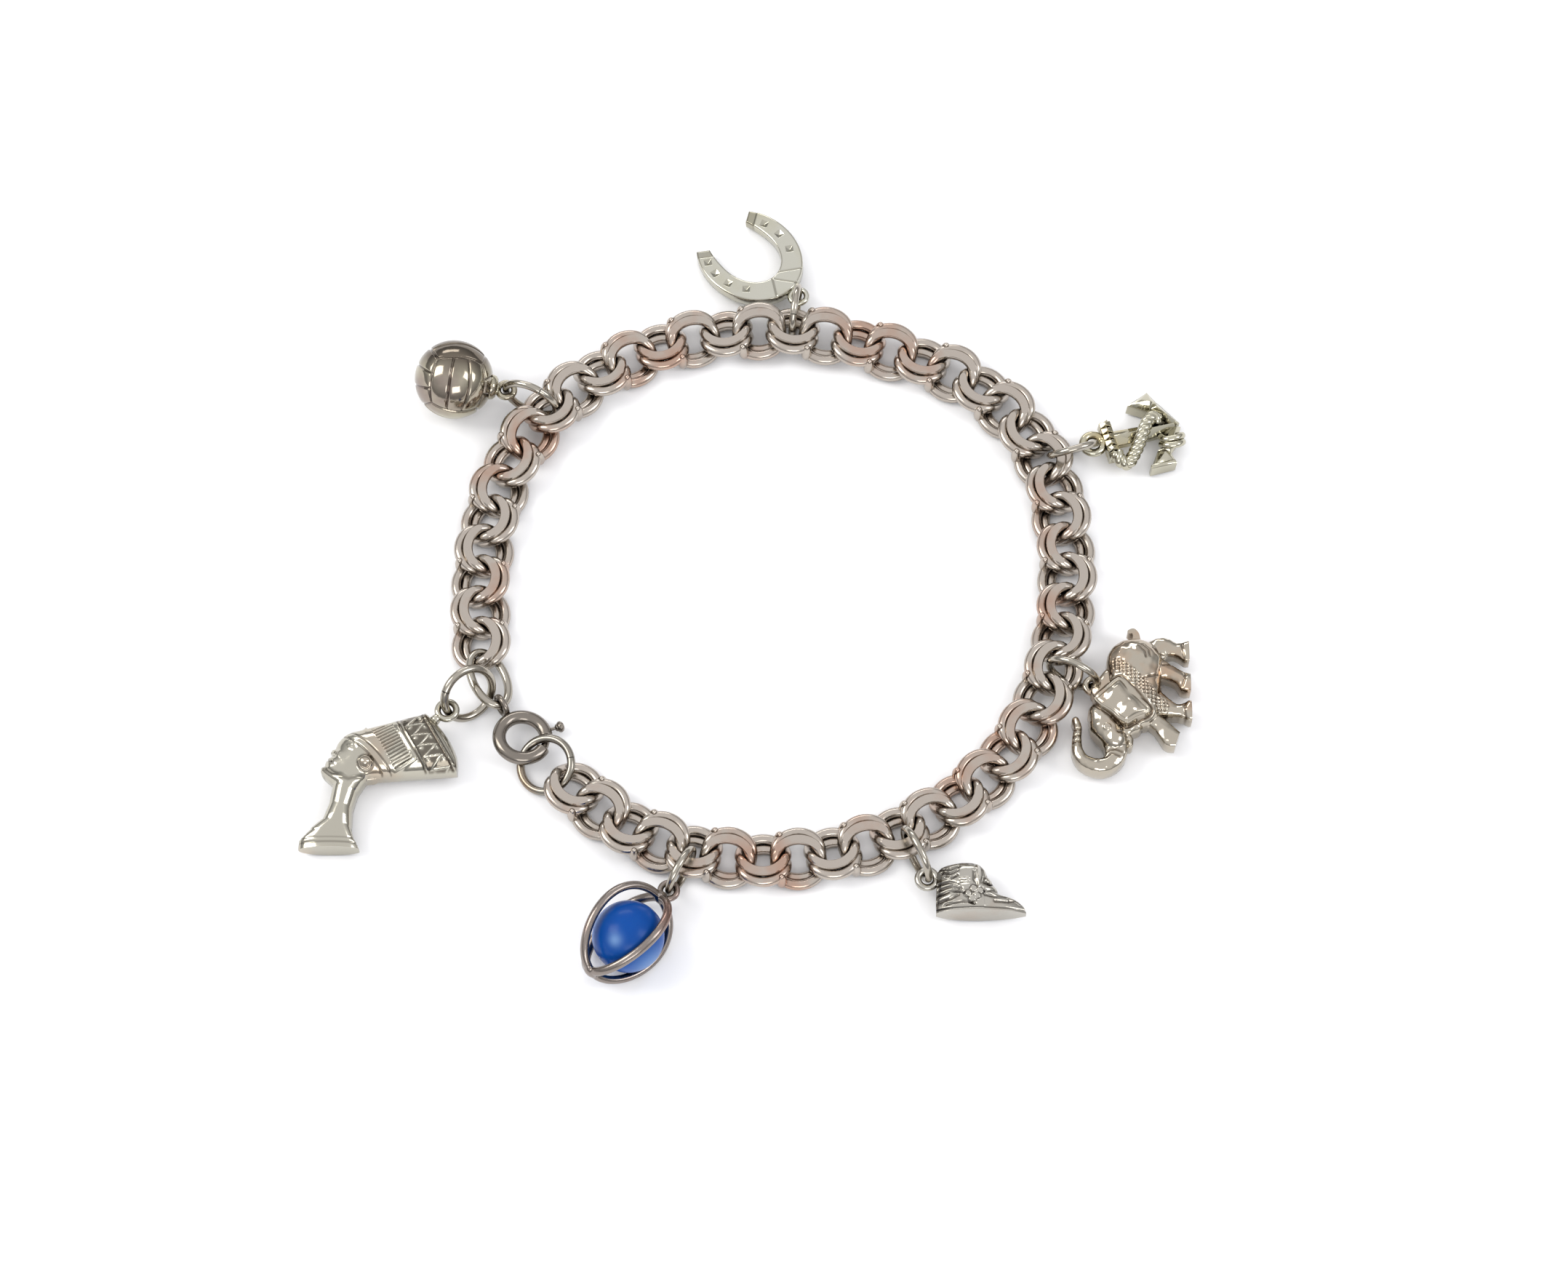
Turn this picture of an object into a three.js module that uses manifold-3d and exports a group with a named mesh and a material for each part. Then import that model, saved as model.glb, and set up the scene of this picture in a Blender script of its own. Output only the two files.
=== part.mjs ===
// Silver charm bracelet, lying in its natural round on a table and fastened.
// Units are millimetres, +Z is up. The chain is made of 25 soldered double-link
// units, closed by a spring-ring clasp, and seven charms hang on jump rings.

import * as THREE from 'three';
import { mergeVertices } from 'three/addons/utils/BufferGeometryUtils.js';
import Module from 'manifold-3d';

const wasm = await Module();
wasm.setup();

// ---------------------------------------------------------------- driving sizes

const UNITS = 25;                 // soldered double-link units in the chain
const PITCH = 7.07;               // from one unit to the next, chain pulled just taut
const FIRST = 2.5;                // first unit's centre, along the route
const HALF_PITCH = 3.53;          // from the first pair of rings to the second

const RING_LONG = 2.48;           // ring radius along the chain, to the bends of its wire
const RING_WIDE = 2.1;            // ring radius across the chain
const RING_RISE = 0.92;           // height that the twisted ring climbs each side
const RING_TWIST = 2.3;           // how suddenly it climbs
const RING_SHIFT = 0.475;         // half the sideways step between the two rings of a pair
const RING_STEP = 0.22;           // half the height step between them
const LINK_WIRE = 0.42;           // wire radius of the links
const CHAIN_HALF = 1.43;          // half height of the chain, both faces ground flat
const SOLDER_HALF = 1.35;         // half height of a solder drop
const SOLDER_OUT = 2.1;           // its place, out from the chain's middle

const JUMP_WIRE = 0.375;          // wire radius of the jump rings
const EYE_RADIUS = 0.85;          // charm eyes, to the wire's middle
const EYE_WIRE = 0.3;
const CHAIN_LIFT = 0.86;          // the chain rides over a jump ring that passes under it
const LIFT_SPREAD = 7;
const TOUCH = 0.02;               // what stands on the table just clears it

const BALL_RADIUS = 3.6;
const CAGE_RADIUS = 4.4;
const CAGE_WIRE = 0.47;
const VOLLEYBALL_RADIUS = 4.15;

// The chain's route on the table, from the clasp's jump ring round to the end ring.
const ROUTE = [
  { x: -23.2, y: -16.6 }, { x: -14.3, y: -23.2 }, { x: -3.6, y: -25.9 }, { x: 7.4, y: -24.6 },
  { x: 17.4, y: -19.7 }, { x: 24.9, y: -11.6 }, { x: 28.6, y: -1.2 }, { x: 29.2, y: 9.9 },
  { x: 26.6, y: 20.5 }, { x: 19.8, y: 28.2 }, { x: 9.5, y: 32.4 }, { x: -1.8, y: 34.1 },
  { x: -12.8, y: 32.6 }, { x: -22.5, y: 26.7 }, { x: -28.9, y: 17.9 }, { x: -31.3, y: 7.3 },
  { x: -31.1, y: -3.8 },
];

// Where each charm's jump ring goes through the chain: the unit, its pair of rings
// (0 stands high on the outside, 1 stands low), how far along from the pair's middle,
// the way the ring points in degrees, its radius, the distance of its middle from the
// chain's, and the height of the charm's eye that it carries. One ring leans over, by
// degrees, and so stands a little aside.
const HANGERS = {
  ball: { unit: 2, pair: 0, along: 0.2, aim: -119, radius: 2.45, reach: 2.95, eye: 3.0 },
  bootee: { unit: 5, pair: 0, along: 0.2, aim: -64, radius: 2.75, reach: 3.3, eye: 1.9 },
  elephant: { unit: 8, pair: 1, along: 0, aim: -24, radius: 2.6, reach: 2.05, eye: 1.9 },
  anchor: {
    unit: 12, pair: 0, along: 0, aim: 17, radius: 2.5, reach: 3.1, eye: 1.9, lean: 24, aside: 0.35,
  },
  horseshoe: { unit: 16, pair: 1, along: 0, aim: 82, radius: 2.6, reach: 2.12, eye: 1.9 },
  volleyball: { unit: 20, pair: 1, along: 0, aim: 158, radius: 2.85, reach: 2.2, eye: 3.2 },
};

// ---------------------------------------------------------------- finishes

const silver = new THREE.MeshStandardMaterial({ color: '#b3aa9f', metalness: 1, roughness: 0.3 });
const paleSilver = new THREE.MeshStandardMaterial({ color: '#d3cfc0', metalness: 1, roughness: 0.35 });
const darkSilver = new THREE.MeshStandardMaterial({ color: '#8b857c', metalness: 1, roughness: 0.35 });
const blueGlass = new THREE.MeshStandardMaterial({ color: '#123f9c', metalness: 0, roughness: 0.05 });

// ---------------------------------------------------------------- solids

const bracelet = new THREE.Group();
const layout = new THREE.Group();
bracelet.add(layout);

const degrees = THREE.MathUtils.degToRad;
const point = (x, y, z) => new THREE.Vector3(x, y, z);

function toSolid(geometry) {
  const bare = geometry.index ? geometry.clone() : mergeVertices(geometry);
  bare.deleteAttribute('normal');
  bare.deleteAttribute('uv');
  const merged = mergeVertices(bare, 1e-4);
  return new wasm.Manifold(new wasm.Mesh({
    numProp: 3,
    vertProperties: new Float32Array(merged.attributes.position.array),
    triVerts: new Uint32Array(merged.index.array),
  }));
}

function toGeometry(body) {
  const mesh = body.getMesh();
  const geometry = new THREE.BufferGeometry();
  geometry.setAttribute('position', new THREE.BufferAttribute(mesh.vertProperties, 3));
  geometry.setIndex(new THREE.BufferAttribute(mesh.triVerts, 1));
  geometry.computeVertexNormals();
  return geometry;
}

function join(geometries) {
  return geometries.map(toSolid).reduce((whole, next) => whole.add(next));
}

function addPiece(name, geometry, material, parent = layout) {
  const mesh = new THREE.Mesh(geometry, material);
  mesh.name = name;
  parent.add(mesh);
  return mesh;
}

// A closed curve given by a function of the turn, from 0 to 1.
class Loop extends THREE.Curve {
  constructor(place) {
    super();
    this.place = place;
  }

  getPoint(turn) {
    return this.place(turn);
  }
}

// A round wire bent into an oval, lying in its own XY plane.
function wireOval(long, wide, wire, steps = 16, sides = 6) {
  const oval = new Loop((turn) => {
    const angle = 2 * Math.PI * turn;
    return point(long * Math.cos(angle), wide * Math.sin(angle), 0);
  });
  return new THREE.TubeGeometry(oval, steps, wire, sides, true);
}

// A closed skin over rings of points, with flat ends, or joined end to end.
function skin(rings, closed = false) {
  const sides = rings[0].length;
  const positions = rings.flat().flatMap((p) => [p.x, p.y, p.z]);
  const faces = [];
  const spans = closed ? rings.length : rings.length - 1;
  for (let i = 0; i < spans; i += 1) {
    for (let j = 0; j < sides; j += 1) {
      const a = i * sides + j;
      const b = i * sides + ((j + 1) % sides);
      const c = ((i + 1) % rings.length) * sides + j;
      const d = ((i + 1) % rings.length) * sides + ((j + 1) % sides);
      faces.push(a, b, d, a, d, c);
    }
  }
  if (!closed) {
    const last = (rings.length - 1) * sides;
    for (let j = 1; j < sides - 1; j += 1) {
      faces.push(0, j + 1, j, last, last + j, last + j + 1);
    }
  }
  const geometry = new THREE.BufferGeometry();
  geometry.setAttribute('position', new THREE.Float32BufferAttribute(positions, 3));
  geometry.setIndex(faces);
  return geometry;
}

// A round bar along a list of points, each with its own radius, closed at both ends.
function bar(stations, sides = 7) {
  const curve = new THREE.CatmullRomCurve3(stations.map((s) => s.at), false, 'centripetal');
  const rings = [];
  const steps = 2 * (stations.length - 1);
  const across = point(0, 0, 1);
  for (let i = 0; i <= steps; i += 1) {
    const t = i / steps;
    const centre = curve.getPoint(t);
    const ahead = curve.getTangent(t);
    const side = new THREE.Vector3().crossVectors(ahead, across).normalize();
    const up = new THREE.Vector3().crossVectors(ahead, side);
    const low = stations[Math.floor(i / 2)];
    const high = stations[Math.ceil(i / 2)];
    const radius = (low.radius + high.radius) / 2;
    const ring = [];
    for (let j = 0; j < sides; j += 1) {
      const angle = (2 * Math.PI * j) / sides;
      ring.push(centre.clone()
        .addScaledVector(side, radius * Math.cos(angle))
        .addScaledVector(up, radius * Math.sin(angle)));
    }
    rings.push(ring);
  }
  return skin(rings);
}

function egg(centre, size, turn = 0, around = 10, down = 7) {
  return new THREE.SphereGeometry(1, around, down)
    .scale(size.x, size.y, size.z)
    .rotateZ(degrees(turn))
    .translate(centre.x, centre.y, centre.z);
}

// A plate cut to an outline in the XY plane, its edges eased on both faces.
function plate(outline, thickness, ease, low = 0) {
  return new THREE.ExtrudeGeometry(new THREE.Shape(outline), {
    depth: thickness - 2 * ease,
    bevelEnabled: ease > 0,
    bevelThickness: ease,
    bevelSize: ease,
    bevelOffset: -ease,
    bevelSegments: 1,
    curveSegments: 8,
  }).translate(0, 0, low + ease);
}

// ---------------------------------------------------------------- chain

const route = new THREE.CatmullRomCurve3(
  ROUTE.map((p) => point(p.x, p.y, 0)), false, 'centripetal');
route.arcLengthDivisions = 2000;
const routeLength = route.getLength();

// The places along the route where a jump ring passes under a low pair of rings.
const liftedAt = Object.values(HANGERS)
  .filter((hanger) => hanger.pair === 1)
  .map((hanger) => FIRST + hanger.unit * PITCH + HALF_PITCH);

function chainPoint(along) {
  const flat = route.getPointAt(THREE.MathUtils.clamp(along / routeLength, 0, 1));
  const lift = liftedAt.reduce(
    (sum, at) => sum + CHAIN_LIFT * Math.exp(-(((along - at) / LIFT_SPREAD) ** 2)), 0);
  return point(flat.x, flat.y, CHAIN_HALF + lift);
}

// The frame of one unit: X ahead along the chain, Y into the loop, Z up.
function unitFrame(index) {
  const start = chainPoint(FIRST + index * PITCH);
  const end = chainPoint(FIRST + index * PITCH + HALF_PITCH);
  const ahead = end.clone().sub(start).normalize();
  const inward = new THREE.Vector3().crossVectors(point(0, 0, 1), ahead).normalize();
  const up = new THREE.Vector3().crossVectors(ahead, inward);
  return new THREE.Matrix4().makeBasis(ahead, inward, up).setPosition(start);
}

// The finished chain is ground flat on both faces.
function groundFlat(place) {
  return place.setZ(THREE.MathUtils.clamp(place.z, -CHAIN_HALF, CHAIN_HALF));
}

// Two rings of wire side by side, bent so that they are high on one side (up = 1: the
// inside of the loop, up = -1: the outside) and low on the other.
function ringPair(middle, up) {
  const steps = 10;
  const gap = point(0, up * RING_SHIFT, -RING_STEP);
  const climb = (s) => RING_RISE * Math.tanh(RING_TWIST * s) / Math.tanh(RING_TWIST);
  const path = new Loop((turn) => {
    const angle = 2 * Math.PI * turn;
    return point(
      middle + RING_LONG * Math.cos(angle),
      RING_WIDE * Math.sin(angle),
      up * climb(Math.sin(angle)));
  });
  const rings = [];
  for (let i = 0; i < steps; i += 1) {
    const centre = path.getPoint((i + 0.5) / steps);
    const ahead = path.getTangent((i + 0.5) / steps);
    const apart = gap.clone().addScaledVector(ahead, -gap.dot(ahead));
    const along = apart.clone().normalize();
    const over = new THREE.Vector3().crossVectors(ahead, along);
    const half = apart.length();
    const outline = [
      [half + LINK_WIRE, 0], [half, LINK_WIRE], [-half, LINK_WIRE],
      [-half - LINK_WIRE, 0], [-half, -LINK_WIRE], [half, -LINK_WIRE],
    ];
    rings.push(outline.map(([u, v]) => groundFlat(centre.clone()
      .addScaledVector(along, u)
      .addScaledVector(over, v))));
  }
  return skin(rings, true);
}

function linkUnit() {
  const solder = [-1, 1].map((side) => new THREE.CylinderGeometry(0.5, 0.5, 2 * SOLDER_HALF, 5)
    .rotateX(Math.PI / 2)
    .translate(HALF_PITCH / 2, side * SOLDER_OUT, 0));
  return toGeometry(join([ringPair(0, -1), ringPair(HALF_PITCH, 1), ...solder]));
}

const unitGeometry = linkUnit();
for (let i = 0; i < UNITS; i += 1) {
  const unit = addPiece(`link_${String(i + 1).padStart(2, '0')}`, unitGeometry, silver);
  unitFrame(i).decompose(unit.position, unit.quaternion, unit.scale);
}

// ---------------------------------------------------------------- jump rings

// A ring stood on the table, upright or leaning, along its way out from the chain.
function jumpRing(name, { unit, pair, along, aim, radius, reach, eye, lean = 0, aside = 0 }) {
  const start = chainPoint(FIRST + unit * PITCH + pair * HALF_PITCH + along);
  const way = point(Math.cos(degrees(aim)), Math.sin(degrees(aim)), 0);
  const up = point(0, 0, 1).applyAxisAngle(way, degrees(lean));
  const across = new THREE.Vector3().crossVectors(way, up);
  const height = radius * up.z + JUMP_WIRE + TOUCH;
  const centre = start.clone().addScaledVector(way, reach).addScaledVector(across, aside)
    .setZ(height);
  const ring = addPiece(`${name}_jump_ring`, wireOval(radius, radius, JUMP_WIRE), silver);
  ring.quaternion.setFromRotationMatrix(new THREE.Matrix4().makeBasis(way, up, across));
  ring.position.copy(centre);
  const down = (height - eye) / up.z;
  const out = Math.sqrt(radius ** 2 - down ** 2);
  return centre.clone().addScaledVector(way, out).addScaledVector(up, -down);
}

const eyes = {};
for (const [charm, hanger] of Object.entries(HANGERS)) {
  eyes[charm] = jumpRing(charm, hanger);
}

const charmEye = (radius = EYE_RADIUS, wire = EYE_WIRE) => wireOval(radius, radius, wire, 10, 6);

// A charm's own frame: its eye at the origin, X pointing away from the eye.
function charmFrame(charm, aim, tip = 0) {
  const group = new THREE.Group();
  group.position.copy(eyes[charm]);
  group.rotation.set(0, degrees(tip), degrees(aim), 'ZYX');
  layout.add(group);
  return group;
}

// ---------------------------------------------------------------- horseshoe

// Half-widths and lengths of the two ovals that bound the shoe; each is drawn
// from one heel round the toe to the other.
const SHOE = { toe: 0.95, thick: 1.3, heelTurn: 144, offset: 0.7 };
const SHOE_OUTER = { middle: 7.35, toe: 6.4, heel: 6.4, wide: 5.4 };
const SHOE_INNER = { middle: 7.55, toe: 3.8, heel: 6.2, wide: 3.1 };

function shoeEdge({ middle, toe, heel, wide }, steps) {
  const edge = [];
  for (let i = 0; i <= steps; i += 1) {
    const angle = degrees(SHOE.heelTurn * ((2 * i) / steps - 1));
    const reachOut = Math.cos(angle) > 0 ? toe : heel;
    edge.push(new THREE.Vector2(
      middle - reachOut * Math.cos(angle), SHOE.offset + wide * Math.sin(angle)));
  }
  return edge;
}

const shoeTip = 5.4;
const shoeOutline = [...shoeEdge(SHOE_OUTER, 14), ...shoeEdge(SHOE_INNER, 12).reverse()];
const shoe = join([plate(shoeOutline, SHOE.thick, 0.15, -SHOE.thick / 2), charmEye()]);
addPiece('horseshoe', toGeometry(shoe), paleSilver, charmFrame('horseshoe', 132, shoeTip));

// ---------------------------------------------------------------- anchor

const ANCHOR = { length: 9.6, thick: 1.3, fluke: 2.6, eye: 1.15 };

function mirrored(points) {
  return [...points, ...points.filter(([, y]) => y > 0).reverse().map(([x, y]) => [x, -y])]
    .map(([x, y]) => new THREE.Vector2(x, y));
}

function anchorCharm() {
  const arms = plate(mirrored([
    [ANCHOR.length, 0], [8.7, 2.9], [7.5, 4.1], [6.6, 3.6], [7.4, 2.3], [7.9, 0.8],
  ]), ANCHOR.thick, 0.15, -ANCHOR.thick / 2);
  const flukes = [-1, 1].map((side) => plate(
    [[5.0, 3.5], [7.7, 4.7], [7.3, 2.8]].map(([x, y]) => new THREE.Vector2(x, side * y)),
    ANCHOR.fluke, 0.15, -ANCHOR.fluke / 2));
  const shank = new THREE.BoxGeometry(7.2, 1.3, 1.2).translate(4.8, 0, 0);
  const stock = new THREE.BoxGeometry(1.2, 4.9, 1.6).translate(1.95, -0.15, 0);
  const rope = bar([
    { at: point(2.1, -1.9, 0.5), radius: 0.5 }, { at: point(2.6, -3.0, 0.1), radius: 0.5 },
    { at: point(3.7, -2.8, 0.2), radius: 0.5 }, { at: point(4.7, -1.2, 0.8), radius: 0.5 },
    { at: point(5.6, 0.3, 1.0), radius: 0.5 }, { at: point(6.8, 1.5, 0.7), radius: 0.5 },
    { at: point(7.9, 2.3, 0.4), radius: 0.5 },
  ], 6);
  return toGeometry(join([arms, ...flukes, shank, stock, rope, charmEye(ANCHOR.eye, 0.4)]));
}

addPiece('anchor', anchorCharm(), silver, charmFrame('anchor', 15, 3.5));

// ---------------------------------------------------------------- bootee

// Side outline of a baby's bootee lying on its side, its sole towards -Y.
function booteeCharm() {
  const upper = plate([
    [1.0, -3.4], [0.9, -1.2], [1.3, 0.9], [3.4, 1.5], [5.6, 1.3], [5.9, 0.2], [6.8, -0.3],
    [7.1, -1.7], [8.9, -2.5], [9.6, -3.4],
  ].map(([x, y]) => new THREE.Vector2(x, y)), 3.5, 0.55, -1.8);
  const sole = plate([
    [0.7, -1.6], [1.6, -1.9], [8.8, -1.9], [9.8, -1.0], [9.8, 0.8], [8.8, 1.7],
    [1.6, 1.7], [0.7, 1.4],
  ].map(([x, y]) => new THREE.Vector2(x, y)), 0.6, 0).rotateX(Math.PI / 2).translate(0, -3.3, 0);
  return toGeometry(join([upper, sole, charmEye(1.0, 0.35)]));
}

addPiece('bootee', booteeCharm(), darkSilver, charmFrame('bootee', 0));

// ---------------------------------------------------------------- elephant

const elephantLegs = [
  [[6.0, 3.4, 0.9], [7.9, 3.3, 0.9], [9.7, 3.1, 0.9]],
  [[6.0, 0.4, -0.3], [7.7, -0.2, -0.3], [9.3, -0.9, -0.3]],
  [[5.6, -3.9, 0.9], [7.5, -3.8, 0.9], [9.3, -3.7, 0.9]],
  [[4.6, -4.9, -0.3], [5.9, -6.0, -0.3], [7.2, -7.1, -0.3]],
];

// The animal is drawn a little too long from trunk to tail, and shortened by this.
const ELEPHANT_SHORTENED = 0.94;

function elephantCharm() {
  const legs = elephantLegs.map(([hip, knee, foot]) => bar([
    { at: point(...hip), radius: 1.3 }, { at: point(...knee), radius: 0.95 },
    { at: point(...foot), radius: 1.45 },
  ]));
  const trunk = bar([
    { at: point(2.0, -6.4, 0.3), radius: 1.4 }, { at: point(1.7, -8.8, -0.2), radius: 1.0 },
    { at: point(0.1, -10.0, -0.6), radius: 0.8 }, { at: point(-1.8, -9.2, -0.8), radius: 0.7 },
    { at: point(-2.3, -7.2, -0.7), radius: 0.6 }, { at: point(-2.1, -4.6, -0.6), radius: 0.5 },
  ]);
  const tail = bar([
    { at: point(4.7, 4.3, 0.6), radius: 0.4 }, { at: point(4.4, 5.6, 0.6), radius: 0.35 },
    { at: point(3.9, 5.5, 0.6), radius: 0.3 },
  ], 5);
  const tusk = bar([
    { at: point(2.6, -5.6, 1.6), radius: 0.5 }, { at: point(3.0, -7.0, 1.5), radius: 0.4 },
    { at: point(2.8, -8.2, 1.3), radius: 0.25 },
  ], 5);
  const ear = plate([
    [2.9, -0.5], [0.3, -3.1], [1.6, -4.6], [3.3, -5.4], [5.3, -4.2],
  ].map(([x, y]) => new THREE.Vector2(x, y)), 1.6, 0.3, 1.5);
  const neckOfEye = bar([
    { at: point(0.8, 0, 0.1), radius: 0.4 }, { at: point(2.0, 0.1, 0.3), radius: 0.6 },
  ], 6);
  return toGeometry(join([
    egg(point(4.0, 0.4, 0.7), point(3.1, 4.2, 2.55)),
    egg(point(1.8, -5.0, 0.4), point(2.2, 2.5, 2.2)),
    ...legs, trunk, tail, tusk, ear, neckOfEye, charmEye(EYE_RADIUS / ELEPHANT_SHORTENED),
  ])).scale(1, ELEPHANT_SHORTENED, 1);
}

addPiece('elephant', elephantCharm(), silver, charmFrame('elephant', 0));

// ---------------------------------------------------------------- volleyball

const VOLLEYBALL_OUT = 5.5;       // from its eye to its middle

function volleyballCharm() {
  const rise = VOLLEYBALL_RADIUS + TOUCH - HANGERS.volleyball.eye;
  const ball = new THREE.SphereGeometry(VOLLEYBALL_RADIUS, 18, 12)
    .translate(VOLLEYBALL_OUT, 0, rise);
  const neck = bar([
    { at: point(1.0, 0, 0.1), radius: 0.6 }, { at: point(2.2, 0, 0.4), radius: 1.0 },
  ]);
  return toGeometry(join([ball, neck, charmEye()]));
}

addPiece('volleyball', volleyballCharm(), darkSilver, charmFrame('volleyball', 172));

// ---------------------------------------------------------------- caged glass ball

const CAGE = { start: 1.3, length: 10.2, fullness: 0.12, axisRise: 0.6 };
const cageFrame = charmFrame('ball', -131);

// One wire hoop of the egg-shaped cage, turned about the cage's length.
function cageHoop(roll) {
  const hoop = new Loop((turn) => {
    const angle = 2 * Math.PI * turn;
    const along = CAGE.start + (CAGE.length / 2) * (1 - Math.cos(angle));
    const out = CAGE_RADIUS * Math.sin(angle) * (1 + CAGE.fullness * Math.cos(angle));
    return point(along, out, 0);
  });
  return new THREE.TubeGeometry(hoop, 20, CAGE_WIRE, 6, true)
    .rotateX(degrees(roll))
    .translate(0, 0, CAGE.axisRise);
}

const cage = join([
  cageHoop(45), cageHoop(-45), charmEye(),
  egg(point(CAGE.start, 0, CAGE.axisRise), point(0.8, 0.8, 0.8), 0, 8, 6),
  egg(point(CAGE.start + CAGE.length, 0, CAGE.axisRise), point(0.7, 0.8, 0.8), 0, 8, 6),
]);
addPiece('ball_cage', toGeometry(cage), silver, cageFrame);

// The glass ball lies loose in the cage, on the table, against two of its wires.
const BALL_ASIDE = 0.36;
addPiece('glass_ball', new THREE.SphereGeometry(BALL_RADIUS, 20, 12).translate(
  CAGE.start + CAGE.length / 2, BALL_ASIDE, BALL_RADIUS + TOUCH - HANGERS.ball.eye),
blueGlass, cageFrame);

// ---------------------------------------------------------------- queen's head

const HEAD_EYE = point(-34.3, -10.1, 2.75);

// Oval sections along the neck and along the head and cap: the middle, the half-width
// across, the half-thickness and the way the section faces in degrees.
const neckSections = [
  { x: -11.4, y: -14.5, z: -1.25, across: 3.2, thick: 1.5, faces: 80 },
  { x: -11.3, y: -14.0, z: -1.25, across: 2.9, thick: 1.5, faces: 80 },
  { x: -10.8, y: -12.4, z: -1.0, across: 1.6, thick: 1.35, faces: 78 },
  { x: -10.4, y: -10.4, z: -0.8, across: 1.15, thick: 1.3, faces: 78 },
  { x: -10.0, y: -8.6, z: -0.5, across: 1.3, thick: 1.4, faces: 76 },
  { x: -9.0, y: -6.2, z: -0.3, across: 1.7, thick: 1.6, faces: 70 },
];
const headSections = [
  { x: -12.0, y: -6.8, z: -0.3, across: 0.7, thick: 0.7, faces: 20 },
  { x: -11.4, y: -6.5, z: -0.3, across: 1.6, thick: 1.3, faces: 20 },
  { x: -10.2, y: -5.9, z: -0.3, across: 2.3, thick: 1.9, faces: 18 },
  { x: -8.4, y: -5.1, z: -0.3, across: 2.7, thick: 2.2, faces: 16 },
  { x: -6.2, y: -4.5, z: -0.3, across: 2.9, thick: 2.35, faces: 16 },
  { x: -2.8, y: -3.7, z: -0.3, across: 3.15, thick: 2.4, faces: 20 },
  { x: -0.5, y: -3.2, z: -0.3, across: 3.3, thick: 2.4, faces: 24 },
  { x: 0.0, y: -3.0, z: -0.3, across: 2.9, thick: 2.0, faces: 24 },
];

function loft(sections, sides = 12) {
  return skin(sections.map(({ x, y, z, across, thick, faces }) => {
    const side = point(Math.cos(degrees(faces + 90)), Math.sin(degrees(faces + 90)), 0);
    const ring = [];
    for (let j = 0; j < sides; j += 1) {
      const angle = (2 * Math.PI * j) / sides;
      ring.push(point(x, y, z + thick * Math.sin(angle))
        .addScaledVector(side, across * Math.cos(angle)));
    }
    return ring;
  }));
}

function headCharm() {
  const nose = egg(point(-10.9, -4.2, -0.3), point(0.9, 0.45, 0.4), 35, 8, 6);
  const lips = egg(point(-11.9, -5.4, -0.3), point(0.35, 0.35, 0.6), 20, 8, 6);
  const ear = egg(point(-8.0, -5.7, 1.7), point(0.75, 0.45, 0.4), 20, 8, 6);
  const band = [
    { x: -5.6, y: -4.35, faces: 17 }, { x: -2.0, y: -3.5, faces: 21 },
  ].map(({ x, y, faces }) => loft([0, 0.5].map((step) => (
    { x: x + step, y: y + 0.25 * step, z: -0.3, across: 3.3, thick: 2.45, faces }))));
  const neckOfEye = bar([
    { at: point(-0.9, -0.5, -0.1), radius: 0.45 }, { at: point(-1.8, -1.4, -0.2), radius: 0.6 },
  ], 6);
  return toGeometry(join([
    loft(neckSections), loft(headSections), nose, lips, ear, ...band, neckOfEye,
    charmEye(1.0, 0.35),
  ]));
}

const headFrame = new THREE.Group();
headFrame.position.copy(HEAD_EYE);
layout.add(headFrame);
addPiece('queen_head', headCharm(), silver, headFrame);

// ---------------------------------------------------------------- rings by the clasp

// A ring laid in a tilted plane: its middle, its two half-lengths, the way its long
// side points, and its roll and pitch in degrees.
function looseRing(name, { at, long, wide, wire, aim, roll, pitch }) {
  const ring = addPiece(name, wireOval(long, wide, wire), silver);
  ring.position.copy(at);
  ring.rotation.set(degrees(roll), degrees(pitch), degrees(aim), 'ZYX');
  return ring;
}

looseRing('head_jump_ring', {
  at: point(-32.19, -8.27, 2.89), long: 2.8, wide: 2.8, wire: 0.42, aim: 41.6, roll: 61.5, pitch: -3.9,
});
looseRing('end_ring', {
  at: point(-30.21, -6.13, 1.72), long: 3.15, wide: 1.9, wire: 0.4, aim: -68.7, roll: -24.4, pitch: -0.6,
});
looseRing('clasp_jump_ring', {
  at: point(-24.18, -15.57, 1.48), long: 2.75, wide: 2.75, wire: 0.36, aim: 34.1, roll: 0, pitch: -22,
});

// ---------------------------------------------------------------- spring-ring clasp

const CLASP = {
  radius: 2.4, tube: 0.68, bore: 0.47, mouth: -28, heel: 6, eyeAt: 122,
};
const BOLT = { wire: 0.27, tip: -38, tail: 92, knobAt: 22, travel: 38 };

const clasp = new THREE.Group();
clasp.position.set(-26.6, -12.64, 1.65);
clasp.rotation.set(degrees(-6.2), degrees(7.7), degrees(-0.6), 'ZYX');
layout.add(clasp);

const around = (angle, radius = CLASP.radius) => point(
  radius * Math.cos(degrees(angle)), radius * Math.sin(degrees(angle)), 0);

// A round section swept round the clasp's circle, from one angle to another.
function arcBar(from, to, wire, steps, sides) {
  const rings = [];
  for (let i = 0; i <= steps; i += 1) {
    const angle = from + ((to - from) * i) / steps;
    const ring = [];
    for (let j = 0; j < sides; j += 1) {
      const turn = (2 * Math.PI * (j + 0.5)) / sides;
      ring.push(around(angle, CLASP.radius + wire * Math.cos(turn))
        .setZ(wire * Math.sin(turn)));
    }
    rings.push(ring.reverse());
  }
  return skin(rings);
}

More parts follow.
